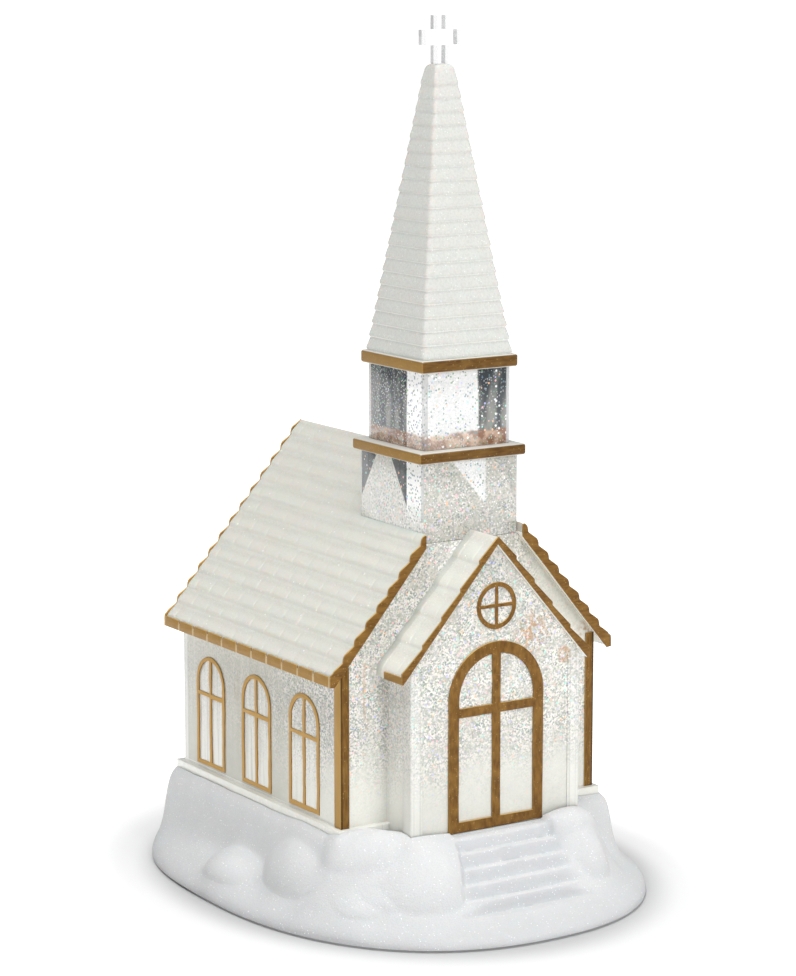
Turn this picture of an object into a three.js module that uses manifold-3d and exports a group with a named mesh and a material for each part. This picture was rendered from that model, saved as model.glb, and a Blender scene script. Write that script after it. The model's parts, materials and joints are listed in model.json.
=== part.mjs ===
// A lighted water chapel: a clear chapel full of liquid and glitter on a moulded snow base.
// Millimetres, +Z up. The door faces -Y and the origin is the centre of the bottom.
import * as THREE from 'three';
import { mergeVertices } from 'three/addons/utils/BufferGeometryUtils.js';
import Module from 'manifold-3d';

const wasm = await Module();
wasm.setup();

// Clearances
const seatGap = 0.3;
const panelGap = 0.4;
const shaftGap = 0.05;

// Snow base: outline, rim, deck and shell
const baseHalfWidth = 86;
const baseHalfDepth = 106;
const outlinePowerFront = 2.3;
const outlinePowerBack = 2.8;
const rimZ = 1;
const rimRise = 5.5;
const rimPower = 6;
const skirtRise = 10;
const skirtPower = 1.6;
const deckZ = 34.4;
const deckThickness = 2.6;
const shellWall = 3.5;
const snowSink = 0.8;

// Snow banks: the lip at the sides ends this far out, and the slope in front ends at this share
const lipReach = 5.1;
const lipPower = 5.5;
const slopeEnd = 0.8;
const nookSoftness = 4;
const moundSoftness = 3.2;
const moundSideFall = 30;
const snowRays = 76;
const rayBias = 0.4;
const rayFocus = (50 * Math.PI) / 180;

// Mounds of snow: centre, turn in degrees, half-widths across and along, foot and top
const mounds = [
  { x: -71, y: 14, turn: 0, across: 12, along: 15, foot: 6, top: 21 },
  { x: -62, y: -20, turn: 0, across: 13, along: 18, foot: 7, top: 28 },
  { x: -51, y: -56, turn: -33, across: 17, along: 10, foot: 24, top: 38 },
  { x: -51, y: -58, turn: -33, across: 18, along: 17, foot: 6, top: 18 },
  { x: -41, y: -64, turn: -33, across: 22, along: 17, foot: 7, top: 25 },
  { x: -31, y: -70, turn: -20, across: 17, along: 18, foot: 7, top: 34 },
  { x: 24, y: -71, turn: 0, across: 7, along: 5, foot: 30, top: 38 },
  { x: 34, y: -72, turn: 20, across: 11, along: 14, foot: 10, top: 31 },
  { x: 68, y: 20, turn: 0, across: 14, along: 20, foot: 7, top: 23 },
  { x: 58, y: -40, turn: 20, across: 15, along: 16, foot: 7, top: 29 },
  { x: -20, y: 80, turn: 0, across: 22, along: 14, foot: 7, top: 23 },
  { x: 28, y: 82, turn: 0, across: 18, along: 12, foot: 7, top: 27 },
];

// Steps, cut into the snow in front of the door
const stepCount = 5;
const stepTread = 4.2;
const stepFrontY = -72;
const landingZ = 33.9;
const lowestTreadZ = 9;
const stepTopHalfWidth = 21;
const stepBottomHalfWidth = 30;
const stepRunOut = 9;

// Nave walls and plinth
const naveHalfWidth = 58;
const naveLength = 121.35;
const naveCentreY = 11.9;
const wall = 2.5;
const plinthStandOff = 2.5;
const plinthHeight = 3.6;

// Nave roof
const ridgeZ = 173.2;
const eaveHalfWidth = 64.1;
const eaveZ = 97.2;
const roofDepth = 3.1;
const courseStep = 1.3;
const naveCourses = 13;
const frontOverhang = 2.85;
const backOverhang = 2.9;
const shingleWidth = 11.7;
const jointWidth = 0.7;
const jointDepth = 0.7;

// Porch
const porchHalfWidth = 37.9;
const porchDepth = 17.7;
const porchRidgeZ = 147;
const porchEaveHalfWidth = 42.3;
const porchEaveZ = 98.1;
const porchRoofDepth = 2.6;
const porchCourses = 5;
const porchOverhang = 0.5;
const porchCeiling = 2;
const cornerPostWidth = 5.3;
const cornerPostProud = 0.8;

// Tower, bands, belfry and spire
const towerHalfWidth = 21.8;
const towerWall = 2.2;
const lowerBandHalfWidth = 24;
const towerRise = 0.8;
const lowerBandHeight = 4.4;
const belfryHalfWidth = 19.55;
const belfryChamfer = 3;
const bandBore = 13.5;
const belfryHeight = 29.5;
const upperBandHalfWidth = 21.65;
const upperBandHeight = 4.9;
const bandLip = 0.5;
const spireBaseHalfWidth = 20.2;
const spireTopHalfWidth = 4.6;
const spireHeight = 106.2;
const spireShoulder = 2.7;
const spireCourses = 21;
const spireCourseStep = 0.75;
const spireWall = 2.6;

// Cross
const crossBar = 5.3;
const crossSpan = 16;
const crossHeight = 18.3;
const crossArmZ = 7.1;
const crossBevel = 0.35;

// Gold trims
const trimThickness = 0.8;
const trimLip = 0.4;
const eaveTrimHeight = 2.9;
const eaveNotch = 1.5;
const eaveNotchWidth = 0.8;
const porchReturnLength = 12;
const stripThickness = 0.6;
const stripSideWidth = 4.2;
const stripFrontWidth = 3.3;

// Side windows
const windowHalfWidth = 11.2;
const windowSillZ = 39.7;
const windowSpringZ = 73.9;
const windowRailZ = 68.2;
const windowFrame = 1.8;
const windowBar = 1.7;
const windowProud = 0.5;
const windowSpacing = 36.2;
const windowMiddleY = 14;

// Door and round window of the porch
const doorHalfWidth = 21.7;
const doorSillZ = 34.7;
const doorSpringZ = 85.4;
const doorRailZ = 79.3;
const doorFrame = 4.6;
const doorSill = 4;
const doorMullion = 3.7;
const doorRail = 3.6;
const doorProud = 0.8;
const roundWindowZ = 120.7;
const roundWindowRadius = 9.05;
const roundWindowRing = 1.8;
const roundWindowBar = 1.4;

// Base plate, feet and screws
const plateInset = 8.4;
const plateSides = 44;
const plateBottomZ = 1.5;
const plateThickness = 2.5;
const footRadius = 7;
const footMargin = 2.5;
const footFrontAngle = -45;
const footBackAngle = 53;
const bossX = 50;
const bossFrontY = -36;
const bossBackY = 56;
const bossRadius = 4;
const screwRadius = 1.2;
const screwLength = 12;
const screwHeadRadius = 2.9;
const screwHeadHeight = 1.3;

// Battery tray, cells and door
const cellRadius = 7.25;
const cellLength = 50.5;
const cellNubRadius = 2.75;
const cellNubLength = 1;
const cellPitch = 15;
const cellFirstY = 32;
const cellCount = 3;
const cellZ = 11.5;
const contactThickness = 0.6;
const contactSpring = 2.6;
const trayWall = 1.6;
const trayRoom = 8.1;
const latchRoom = 2.8;
const doorThickness = 1.8;
const tabX = 16;
const tabWidth = 8;
const tabReach = 2.7;
const tabThickness = 1.1;
const latchHalfWidth = 5;
const latchThickness = 1.4;
const latchHeight = 6.2;
const latchSetback = 0.5;

// Control board and slide switch
const boardHalfWidth = 22;
const boardHalfDepth = 12;
const boardThickness = 1.6;
const boardZ = 10;
const boardY = -38;
const postRadius = 2.5;
const switchHalfWidth = 6.5;
const switchHalfDepth = 3.3;
const sliderHalfWidth = 2.2;
const sliderHalfDepth = 1.8;
const sliderTravel = 2;
const sliderBottomZ = 1.2;
const sliderDepth = 1.3;

// Motor, shaft and drive hub on the pump axis
const pumpY = naveCentreY;
const motorRadius = 9.5;
const motorHeight = 17.6;
const motorBossRadius = 3;
const motorBossHeight = 1.2;
const cradleHeight = 9;
const shaftRadius = 1;
const shaftLength = 12.5;
const hubRadius = 10;
const hubStemRadius = 4;
const hubDiscHeight = 4.4;
const hubTopZ = 33.4;
const magnetOuterRadius = 8.1;
const magnetInnerRadius = 2.9;
const magnetHeight = 2.2;

// Light board under the clear floor
const lightOpeningRadius = 32;
const lightBoardRadius = 31.7;
const lightBoardBore = 13;
const lightBoardZ = 28.7;
const ledgeWidth = 2.5;
const collarWall = 2.5;
const collarBottomZ = 27;
const ledOffset = 22;
const ledRadius = 2.5;
const ledHeight = 3.4;

// Chamber floor, plug, pin and impeller
const floorThickness = 2.5;
const plugOffset = 23;
const plugRadius = 5.7;
const plugHeadRadius = 8.2;
const plugHeadHeight = 2;
const floorBossRadius = 2.6;
const floorBossHeight = 1.5;
const pinHeadRadius = 2.4;
const pinHeadHeight = 1.5;
const pinDepth = 1.6;
const impellerDiscRadius = 11.5;
const impellerDiscHeight = 3.7;
const impellerHubRadius = 4.6;
const impellerHeight = 9.7;
const bladeCount = 5;
const bladeTipRadius = 15.5;
const bladeThickness = 1.3;
const bladeHeight = 5.2;
const bladeTurn = 0.6;
const impellerRoom = 1.5;
const liquidTopDrop = 1.2;

// Places worked out from the sizes above
const naveFrontY = naveCentreY - naveLength / 2;
const naveBackY = naveCentreY + naveLength / 2;
const porchFrontY = naveFrontY - porchDepth;
const roofFrontY = naveFrontY - frontOverhang;
const roofBackY = naveBackY + backOverhang;
const porchRoofFrontY = porchFrontY - porchOverhang;
const towerY = naveFrontY + towerHalfWidth;
const plateTopZ = plateBottomZ + plateThickness;
const floorTopZ = deckZ + floorThickness;
const pinBottomZ = floorTopZ - pinDepth;
const impellerZ = floorTopZ + floorBossHeight + seatGap;
const impellerTopZ = impellerZ + impellerHeight + seatGap + pinHeadHeight;
const lowerBandZ = ridgeZ + towerRise;
const lowerBandTopZ = lowerBandZ + lowerBandHeight;
const upperBandZ = lowerBandTopZ + belfryHeight;
const spireZ = upperBandZ + upperBandHeight;
const spireTopZ = spireZ + spireHeight + spireShoulder;
const trayX = cellLength / 2 + contactSpring + contactThickness;
const trayFrontY = cellFirstY - cellRadius - panelGap;
const trayBackY = cellFirstY + cellPitch * (cellCount - 1) + cellRadius + latchRoom + panelGap;
const trayTopZ = cellZ + trayRoom;

const naveRoof = {
  half: eaveHalfWidth,
  eave: eaveZ,
  ridge: ridgeZ,
  depth: roofDepth,
  courses: naveCourses,
};
const porchRoof = {
  half: porchEaveHalfWidth,
  eave: porchEaveZ,
  ridge: porchRidgeZ,
  depth: porchRoofDepth,
  courses: porchCourses,
};

// Height of a roof's slope line, of its underside, and of what is seated under it
const slopeZ = (roof, x) => roof.ridge - (Math.abs(x) * (roof.ridge - roof.eave)) / roof.half;
const underZ = (roof, x) => slopeZ(roof, x) - roof.depth;
const seatZ = (roof, x) => underZ(roof, x) - 1.5 * seatGap;

// Basic solids

function box(x0, x1, y0, y1, z0, z1) {
  const geometry = new THREE.BoxGeometry(x1 - x0, y1 - y0, z1 - z0);
  return geometry.translate((x0 + x1) / 2, (y0 + y1) / 2, (z0 + z1) / 2);
}

function rod(radius, z0, z1, x = 0, y = 0, sides = 24) {
  const geometry = new THREE.CylinderGeometry(radius, radius, z1 - z0, sides);
  geometry.rotateX(Math.PI / 2);
  return geometry.translate(x, y, (z0 + z1) / 2);
}

// A turned piece: profile points are [radius, z], from the axis round and back to it or to the start
function turned(profile, x = 0, y = 0, sides = 24) {
  const points = profile.map(([radius, z]) => new THREE.Vector2(radius, z));
  const geometry = new THREE.LatheGeometry(points, sides);
  geometry.rotateX(Math.PI / 2);
  return geometry.translate(x, y, 0);
}

function extrude(outline, depth) {
  const shape = new THREE.Shape(outline.map(([x, y]) => new THREE.Vector2(x, y)));
  return new THREE.ExtrudeGeometry(shape, { depth, bevelEnabled: false });
}

const axisX = new THREE.Vector3(1, 0, 0);
const axisY = new THREE.Vector3(0, 1, 0);
const axisZ = new THREE.Vector3(0, 0, 1);

function alongZ(outline, z0, z1) {
  return extrude(outline, z1 - z0).translate(0, 0, z0);
}

// The outline is in x and z
function alongY(outline, y0, y1) {
  const geometry = extrude(outline, y1 - y0);
  geometry.applyMatrix4(new THREE.Matrix4().makeBasis(axisX, axisZ, axisY.clone().negate()));
  return geometry.translate(0, y1, 0);
}

// The outline is in y and z
function alongX(outline, x0, x1) {
  const geometry = extrude(outline, x1 - x0);
  geometry.applyMatrix4(new THREE.Matrix4().makeBasis(axisY, axisZ, axisX));
  return geometry.translate(x0, 0, 0);
}

// Joining and cutting

function solid(geometry) {
  if (!geometry.isBufferGeometry) return geometry;
  const bare = new THREE.BufferGeometry();
  bare.setAttribute('position', geometry.getAttribute('position').clone());
  if (geometry.index) bare.setIndex(geometry.index.clone());
  const welded = mergeVertices(bare, 1e-5);
  const mesh = new wasm.Mesh({
    numProp: 3,
    vertProperties: new Float32Array(welded.getAttribute('position').array),
    triVerts: new Uint32Array(welded.index.array),
  });
  return new wasm.Manifold(mesh);
}

const join = (...shapes) => shapes.map(solid).reduce((whole, shape) => whole.add(shape));
const cut = (shape, ...tools) => tools.map(solid).reduce((rest, tool) => rest.subtract(tool), solid(shape));
const common = (shape, other) => solid(shape).intersect(solid(other));

function toGeometry(shape) {
  const mesh = solid(shape).getMesh();
  const geometry = new THREE.BufferGeometry();
  geometry.setAttribute('position', new THREE.BufferAttribute(new Float32Array(mesh.vertProperties), 3));
  geometry.setIndex(new THREE.BufferAttribute(new Uint32Array(mesh.triVerts), 1));
  geometry.computeVertexNormals();
  return geometry;
}

// Finishes

function finish(color, roughness, metalness = 0, opacity = 1) {
  const material = new THREE.MeshStandardMaterial({ color, roughness, metalness });
  material.opacity = opacity;
  material.transparent = opacity < 1;
  return material;
}

const snowFinish = () => finish(0xeef1f4, 0.85);
const frostFinish = () => finish(0xe6e7e2, 0.6);
const goldFinish = () => finish(0x8a6535, 0.45, 0.4);
const clearFinish = () => finish(0xf2f6f5, 0.08, 0, 0.35);
const steelFinish = () => finish(0xb9bcc0, 0.35, 0.9);
const whitePlastic = () => finish(0xe9eaea, 0.55);
const darkPlastic = () => finish(0x2b2d30, 0.5);

function piece(parent, name, shape, material) {
  const mesh = new THREE.Mesh(toGeometry(shape), material);
  mesh.name = name;
  parent.add(mesh);
  return mesh;
}

// Outlines

// Radius of the base's outline in a direction; an inset shrinks it on all sides
function outlineRadius(cos, sin, inset = 0) {
  const power = sin < 0 ? outlinePowerFront : outlinePowerBack;
  const across = Math.abs(cos / (baseHalfWidth - inset)) ** power;
  const along = Math.abs(sin / (baseHalfDepth - inset)) ** power;
  return (across + along) ** (-1 / power);
}

function outlinePoints(inset, count) {
  return Array.from({ length: count }, (_, i) => {
    const angle = (2 * Math.PI * i) / count;
    const radius = outlineRadius(Math.cos(angle), Math.sin(angle), inset);
    return [radius * Math.cos(angle), radius * Math.sin(angle)];
  });
}

function arc(x, y, radius, from, to, steps) {
  return Array.from({ length: steps + 1 }, (_, i) => {
    const angle = from + ((to - from) * i) / steps;
    return [x + radius * Math.cos(angle), y + radius * Math.sin(angle)];
  });
}

const mirrored = (points) => points.map(([x, y]) => [-x, y]).reverse();

// The chapel stands on the nave's plinth and the porch's walls
const plinthPad = { x: naveHalfWidth + plinthStandOff, front: naveFrontY - plinthStandOff };
const porchPad = { x: porchHalfWidth + cornerPostProud, front: porchFrontY - doorProud };

function footprint(margin) {
  const nx = plinthPad.x + margin;
  const px = porchPad.x + margin;
  const back = naveBackY + plinthStandOff + margin;
  const front = plinthPad.front - margin;
  const porch = porchPad.front - margin;
  return [[-nx, back], [-nx, front], [-px, front], [-px, porch],
    [px, porch], [px, front], [nx, front], [nx, back]];
}

// Distance at which a ray from the origin leaves a rectangle, or 0 where it misses it
function rayExit(halfWidth, y0, y1, cos, sin) {
  const slab = (step, low, high) => {
    if (Math.abs(step) < 1e-9) return low < 0 && high > 0 ? [-Infinity, Infinity] : [Infinity, -Infinity];
    return step > 0 ? [low / step, high / step] : [high / step, low / step];
  };
  const [nearX, farX] = slab(cos, -halfWidth, halfWidth);
  const [nearY, farY] = slab(sin, y0, y1);
  const far = Math.min(farX, farY);
  return Math.max(nearX, nearY) < far ? Math.max(far, 0) : 0;
}

function footprintRadius(cos, sin) {
  const nave = rayExit(plinthPad.x, plinthPad.front, naveBackY + plinthStandOff, cos, sin);
  const porch = rayExit(porchPad.x, porchPad.front, plinthPad.front, cos, sin);
  return Math.max(nave, porch);
}

// Distance outside the chapel's foot, softened in the nooks beside the porch
function footDistance(x, y) {
  const outside = (halfWidth, y0, y1) => {
    const dx = Math.max(Math.abs(x) - halfWidth, 0);
    const dy = Math.max(y0 - y, y - y1, 0);
    return Math.hypot(dx, dy);
  };
  const nave = outside(plinthPad.x, plinthPad.front, naveBackY + plinthStandOff);
  const porch = outside(porchPad.x, porchPad.front, plinthPad.front);
  const soft = Math.exp(-nave / nookSoftness) + Math.exp(-porch / nookSoftness);
  return Math.max(-nookSoftness * Math.log(soft), 0);
}

// Snow base

// Height of the bare banks: level at the chapel's foot, then falling to a rounded rim
function bankHeight(x, y) {
  const radius = Math.hypot(x, y);
  if (radius < 1e-6) return deckZ + snowSink;
  const cos = x / radius;
  const sin = y / radius;
  const fromFoot = footDistance(x, y);
  const fromEdge = Math.max(outlineRadius(cos, sin) - radius, 0);
  const u = fromFoot / (fromFoot + fromEdge + 1e-6);
  const frontal = THREE.MathUtils.smoothstep(-sin, 0.6, 0.92);
  const lip = (1 - u ** 4) / (1 + (fromFoot / lipReach) ** lipPower);
  const slope = 1 - THREE.MathUtils.smoothstep(u, 0, slopeEnd);
  const rim = rimRise * Math.sqrt(Math.max(1 - u ** rimPower, 0));
  const skirt = skirtRise * Math.max(1 - u, 0) ** skirtPower;
  const rest = deckZ + snowSink - rimZ - rimRise - skirtRise;
  return rimZ + rim + skirt + rest * THREE.MathUtils.lerp(lip, slope, frontal);
}

// Height of the snow with its mounds blended in
function snowHeight(x, y) {
  let height = bankHeight(x, y);
  for (const mound of mounds) {
    const turn = THREE.MathUtils.degToRad(mound.turn);
    const dx = x - mound.x;
    const dy = y - mound.y;
    const across = (dx * Math.cos(turn) + dy * Math.sin(turn)) / mound.across;
    const along = (dy * Math.cos(turn) - dx * Math.sin(turn)) / mound.along;
    const reach = Math.hypot(across, along);
    const dome = Math.sqrt(Math.max(1 - reach * reach, 0));
    const level = mound.foot + (mound.top - mound.foot) * dome - moundSideFall * Math.max(reach - 1, 0);
    const blend = Math.log(1 + Math.exp(-Math.abs(height - level) / moundSoftness));
    height = Math.max(height, level) + moundSoftness * blend;
  }
  return height;
}

// The steps: level of the tread at y, and half-width of the flight there
const stepRise = (landingZ - lowestTreadZ) / stepCount;
const stepEndY = stepFrontY - stepTread * (stepCount - 1);

function treadZ(y) {
  if (y > stepFrontY) return landingZ;
  const passed = Math.min(Math.floor((stepFrontY - y) / stepTread) + 1, stepCount);
  return landingZ - stepRise * passed;
}

function flightHalfWidth(y) {
  const along = THREE.MathUtils.clamp((porchPad.front - y) / (porchPad.front - stepEndY), 0, 1);
  return THREE.MathUtils.lerp(stepTopHalfWidth, stepBottomHalfWidth, along ** 2);
}

function stepCutter() {
  const top = deckZ + 12;
  const startY = porchPad.front;
  const profile = [[startY, top], [startY, landingZ]];
  for (let i = 0; i < stepCount; i += 1) {
    const y = stepFrontY - i * stepTread;
    profile.push([y, landingZ - i * stepRise]);
    profile.push([y, landingZ - (i + 1) * stepRise]);
  }
  const endY = stepEndY - stepRunOut;
  profile.push([endY, lowestTreadZ]);
  profile.push([endY, top]);
  const side = Array.from({ length: 7 }, (_, i) => {
    const y = startY + ((stepEndY - startY) * i) / 6;
    return [flightHalfWidth(y), y];
  });
  side.push([stepTopHalfWidth, endY]);
  const plan = [...side, ...mirrored(side)];
  return common(alongX(profile, -2 * stepBottomHalfWidth, 2 * stepBottomHalfWidth), alongZ(plan, 0, 2 * top));
}

// A closed solid over rays from the centre: ring k of ray i is at point(i, k), above a flat bottom
function rayLoft(rays, rings, point, topZ, bottomZ) {
  const positions = [0, 0, topZ, 0, 0, bottomZ];
  const index = [];
  for (let k = 0; k < rings; k += 1) {
    for (let i = 0; i < rays; i += 1) positions.push(...point(i, k));
  }
  const at = (i, k) => 2 + k * rays + (i % rays);
  for (let i = 0; i < rays; i += 1) {
    index.push(0, at(i, 0), at(i + 1, 0));
    index.push(1, at(i + 1, rings - 1), at(i, rings - 1));
    for (let k = 0; k < rings - 1; k += 1) {
      index.push(at(i, k), at(i, k + 1), at(i + 1, k + 1));
      index.push(at(i, k), at(i + 1, k + 1), at(i + 1, k));
    }
  }
  const geometry = new THREE.BufferGeometry();
  geometry.setAttribute('position', new THREE.BufferAttribute(new Float32Array(positions), 3));
  geometry.setIndex(index);
  return geometry;
}

// Rays round the base, closest together at the front left, and one through each corner of the foot
function snowAngles(count) {
  const even = Array.from({ length: count }, (_, i) => {
    const turn = (2 * Math.PI * i) / count;
    return (turn + rayBias * Math.sin(turn - rayFocus) + rayBias + 2 * Math.PI) % (2 * Math.PI);
  });
  const corners = footprint(0).map(([x, y]) => (Math.atan2(y, x) + 2 * Math.PI) % (2 * Math.PI));
  const quarters = [0, 1, 2, 3].map((i) => (Math.PI * i) / 2);
  const fixed = [...corners, ...quarters];
  const apart = even.filter((angle) => fixed.every((other) => Math.abs(other - angle) > 0.02));
  return [...apart.filter((angle) => angle < 2 * Math.PI - 0.02), ...fixed].sort((a, b) => a - b);
}

function snowBody() {
  const angles = snowAngles(snowRays);
  const reaches = [0, 0.1, 0.17, 0.24, 0.32, 0.41, 0.51, 0.62, 0.74, 0.85, 0.93, 0.98, 1];
  const point = (i, k) => {
    const cos = Math.cos(angles[i]);
    const sin = Math.sin(angles[i]);
    const foot = footprintRadius(cos, sin);
    const radius = foot + reaches[k] * (outlineRadius(cos, sin) - foot);
    const z = k === reaches.length - 1 ? rimZ : snowHeight(radius * cos, radius * sin);
    return [radius * cos, radius * sin, z];
  };
  return rayLoft(angles.length, reaches.length, point, deckZ + snowSink, rimZ);
}

// The hollow under the snow keeps the wall's thickness outwards and upwards; the plate fits its mouth
function snowHollow() {
  const rays = plateSides;
  const reaches = [0.5, 0.68, 0.78, 0.87, 0.94, 1, 1];
  const low = rimZ - 2;
  const point = (i, k) => {
    const angle = (2 * Math.PI * i) / rays;
    const cos = Math.cos(angle);
    const sin = Math.sin(angle);
    const radius = reaches[k] * outlineRadius(cos, sin, plateInset - panelGap);
    const outX = (radius + shellWall) * cos;
    const outY = (radius + shellWall) * sin;
    const inFlight = Math.abs(outX) < flightHalfWidth(outY) + shellWall && outY < porchPad.front;
    const level = inFlight ? Math.min(bankHeight(outX, outY), treadZ(outY)) : bankHeight(outX, outY);
    const z = Math.min(level, deckZ) - deckThickness - 0.4;
    return [radius * cos, radius * sin, k === reaches.length - 1 ? low : Math.max(z, plateTopZ + seatGap)];
  };
  return rayLoft(rays, reaches.length, point, deckZ - deckThickness, low);
}

function snowBase() {
  const hollow = snowHollow();
  const pocket = alongZ(footprint(seatGap), deckZ, deckZ + 20);
  const shell = cut(snowBody(), hollow, pocket, stepCutter());
  const collarOuter = rod(lightOpeningRadius + collarWall, collarBottomZ, deckZ - 1, 0, pumpY, 32);
  const bosses = bossPlaces().map(([x, y]) => rod(bossRadius, plateTopZ + seatGap, deckZ - 1, x, y, 16));
  const bores = bossPlaces().map(([x, y]) => rod(screwRadius + 0.2, 0, plateTopZ + screwLength, x, y, 12));
  const ledgeBore = lightOpeningRadius - ledgeWidth;
  const opening = rod(lightOpeningRadius, lightBoardZ, deckZ + 1, 0, pumpY, 32);
  const lowOpening = rod(ledgeBore, 0, deckZ, 0, pumpY, 32);
  return cut(join(shell, collarOuter, ...bosses), opening, lowOpening, ...bores);
}

function bossPlaces() {
  return [[-bossX, bossFrontY], [bossX, bossFrontY], [-bossX, bossBackY], [bossX, bossBackY]];
}

// The feet stand inside the plate's edge, at an angle from the base's middle
function footPlaces() {
  const inset = plateInset + footMargin + footRadius;
  return [footFrontAngle, footBackAngle].flatMap((degrees) => {
    const angle = THREE.MathUtils.degToRad(degrees);
    const radius = outlineRadius(Math.cos(angle), Math.sin(angle), inset);
    const x = radius * Math.cos(angle);
    const y = radius * Math.sin(angle);
    return [[-x, y], [x, y]];
  });
}

// Base plate with the battery tray, the motor's cradle and the board's posts

function basePlate() {
  const plate = alongZ(outlinePoints(plateInset, plateSides), plateBottomZ, plateTopZ);
  const tray = box(-trayX - trayWall, trayX + trayWall, trayFrontY - trayWall, trayBackY + trayWall,
    plateBottomZ + 0.5, trayTopZ + trayWall);
  const cradle = rod(motorRadius + seatGap + trayWall, plateTopZ - 1, plateTopZ + cradleHeight, 0, pumpY, 24);
  const postX = boardHalfWidth - 4;
  const posts = [-postX, postX].map((x) => rod(postRadius, plateTopZ - 1, boardZ, x, boardY, 16));
  const bay = box(-trayX, trayX, trayFrontY, trayBackY, plateBottomZ - 1, trayTopZ);
  const cradleRoom = rod(motorRadius + seatGap, plateTopZ, plateTopZ + cradleHeight + 1, 0, pumpY, 24);
  const slotX = sliderHalfWidth + sliderTravel + panelGap;
  const slotY = sliderHalfDepth + panelGap;
  const slot = box(-slotX, slotX, boardY - slotY, boardY + slotY, plateBottomZ - 1, plateTopZ + 1);
  const slotHalf = tabWidth / 2 + panelGap;
  const slotFrontY = trayFrontY - trayWall - 1;
  const tabSlots = [-tabX, tabX].map((x) => (
    box(x - slotHalf, x + slotHalf, slotFrontY, trayFrontY + 1, plateTopZ, plateTopZ + 3)
  ));
  const holes = bossPlaces().map(([x, y]) => rod(screwRadius + 0.3, 0, plateTopZ + 1, x, y, 12));
  const sinkRadius = screwHeadRadius + seatGap;
  const sinkTopZ = plateBottomZ + screwHeadHeight + 0.1;
  const sinks = bossPlaces().map(([x, y]) => rod(sinkRadius, 0, sinkTopZ, x, y, 16));
  return cut(join(plate, tray, cradle, ...posts), bay, cradleRoom, slot, ...tabSlots, ...holes, ...sinks);
}

// The battery door closes the bay from below; its tabs hook over the plate, its latch springs behind
function batteryDoor() {
  const y0 = trayFrontY + panelGap;
  const y1 = trayBackY - panelGap;
  const top = plateBottomZ + doorThickness;
  const panel = box(-trayX + panelGap, trayX - panelGap, y0, y1, plateBottomZ, top);
  const tabBottom = plateTopZ + seatGap;
  const tabs = [-1, 1].flatMap((side) => {
    const x0 = side * tabX - tabWidth / 2;
    const x1 = side * tabX + tabWidth / 2;
    return [
      box(x0, x1, y0, y0 + 1.4, top - 0.5, tabBottom + tabThickness),
      box(x0, x1, y0 - tabReach, y0 + 1.4, tabBottom, tabBottom + tabThickness),
    ];
  });
  const latchY = y1 - latchSetback;
  const latchFrontY = latchY - latchThickness;
  const latch = box(-latchHalfWidth, latchHalfWidth, latchFrontY, latchY, top - 0.5, top + latchHeight);
  const grips = [0, 1, 2].map((i) => box(-8, 8, y1 - 6 - 2.2 * i, y1 - 5 - 2.2 * i, 0, plateBottomZ + 0.5));
  return cut(join(panel, ...tabs, latch), ...grips);
}

// An AA cell lying along X; flip turns its positive nub to -X
function cell(flip) {
  const half = cellLength / 2;
  const shoulder = half - cellNubLength;
  const geometry = turned([
    [0, -half], [cellRadius - 0.6, -half], [cellRadius, -half + 0.6], [cellRadius, shoulder - 0.6],
    [cellRadius - 0.6, shoulder], [cellNubRadius, shoulder], [cellNubRadius, half], [0, half],
  ], 0, 0, 16);
  return geometry.rotateY(flip ? -Math.PI / 2 : Math.PI / 2);
}

// A contact strip with one coned spring for each cell, drawn for the +X end
function contactStrip() {
  const y0 = trayFrontY + seatGap;
  const y1 = cellFirstY + cellPitch * (cellCount - 1) + cellRadius;
  const strip = box(trayX - contactThickness, trayX, y0, y1, cellZ - 6, cellZ + 6);
  const springs = Array.from({ length: cellCount }, (_, i) => {
    const length = contactSpring - seatGap + 0.2;
    const cone = new THREE.CylinderGeometry(4.2, 2.4, length, 10);
    cone.rotateZ(-Math.PI / 2);
    return cone.translate(trayX - contactThickness + 0.2 - length / 2, cellFirstY + cellPitch * i, cellZ);
  });
  return join(strip, ...springs);
}

function plateScrew() {
  const head = plateBottomZ + screwHeadHeight;
  const tip = plateTopZ + screwLength - 1;
  return turned([
    [0, plateBottomZ + 0.1], [screwHeadRadius, plateBottomZ + 0.1], [screwHeadRadius, head],
    [screwRadius, head], [screwRadius, tip - 1.5], [0, tip],
  ], 0, 0, 12);
}

function foot() {
  return turned([
    [0, 0], [footRadius - 0.3, 0], [footRadius, 0.3], [footRadius, plateBottomZ], [0, plateBottomZ],
  ], 0, 0, 20);
}

// Control board, switch and its slider

function circuitBoard() {
  const board = box(-boardHalfWidth, boardHalfWidth, boardY - boardHalfDepth, boardY + boardHalfDepth,
    boardZ, boardZ + boardThickness);
  const topZ = boardZ + boardThickness;
  const chip = box(-15, -9, boardY - 3, boardY + 3, topZ - 0.5, topZ + 1.4);
  const timer = box(6, 14, boardY - 5, boardY, boardZ + boardThickness - 0.5, boardZ + boardThickness + 2.2);
  const can = rod(3, boardZ + boardThickness - 0.5, boardZ + boardThickness + 6, 11, boardY + 6, 16);
  return join(board, chip, timer, can);
}

function switchBody() {
  const body = box(-switchHalfWidth, switchHalfWidth, boardY - switchHalfDepth, boardY + switchHalfDepth,
    plateTopZ + seatGap, boardZ);
  const roomX = sliderHalfWidth + sliderTravel + seatGap;
  const roomY = sliderHalfDepth + seatGap;
  const roomTopZ = plateTopZ + 2 * seatGap + sliderDepth;
  const room = box(-roomX, roomX, boardY - roomY, boardY + roomY, plateTopZ - 1, roomTopZ);
  return cut(body, room);
}

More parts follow.
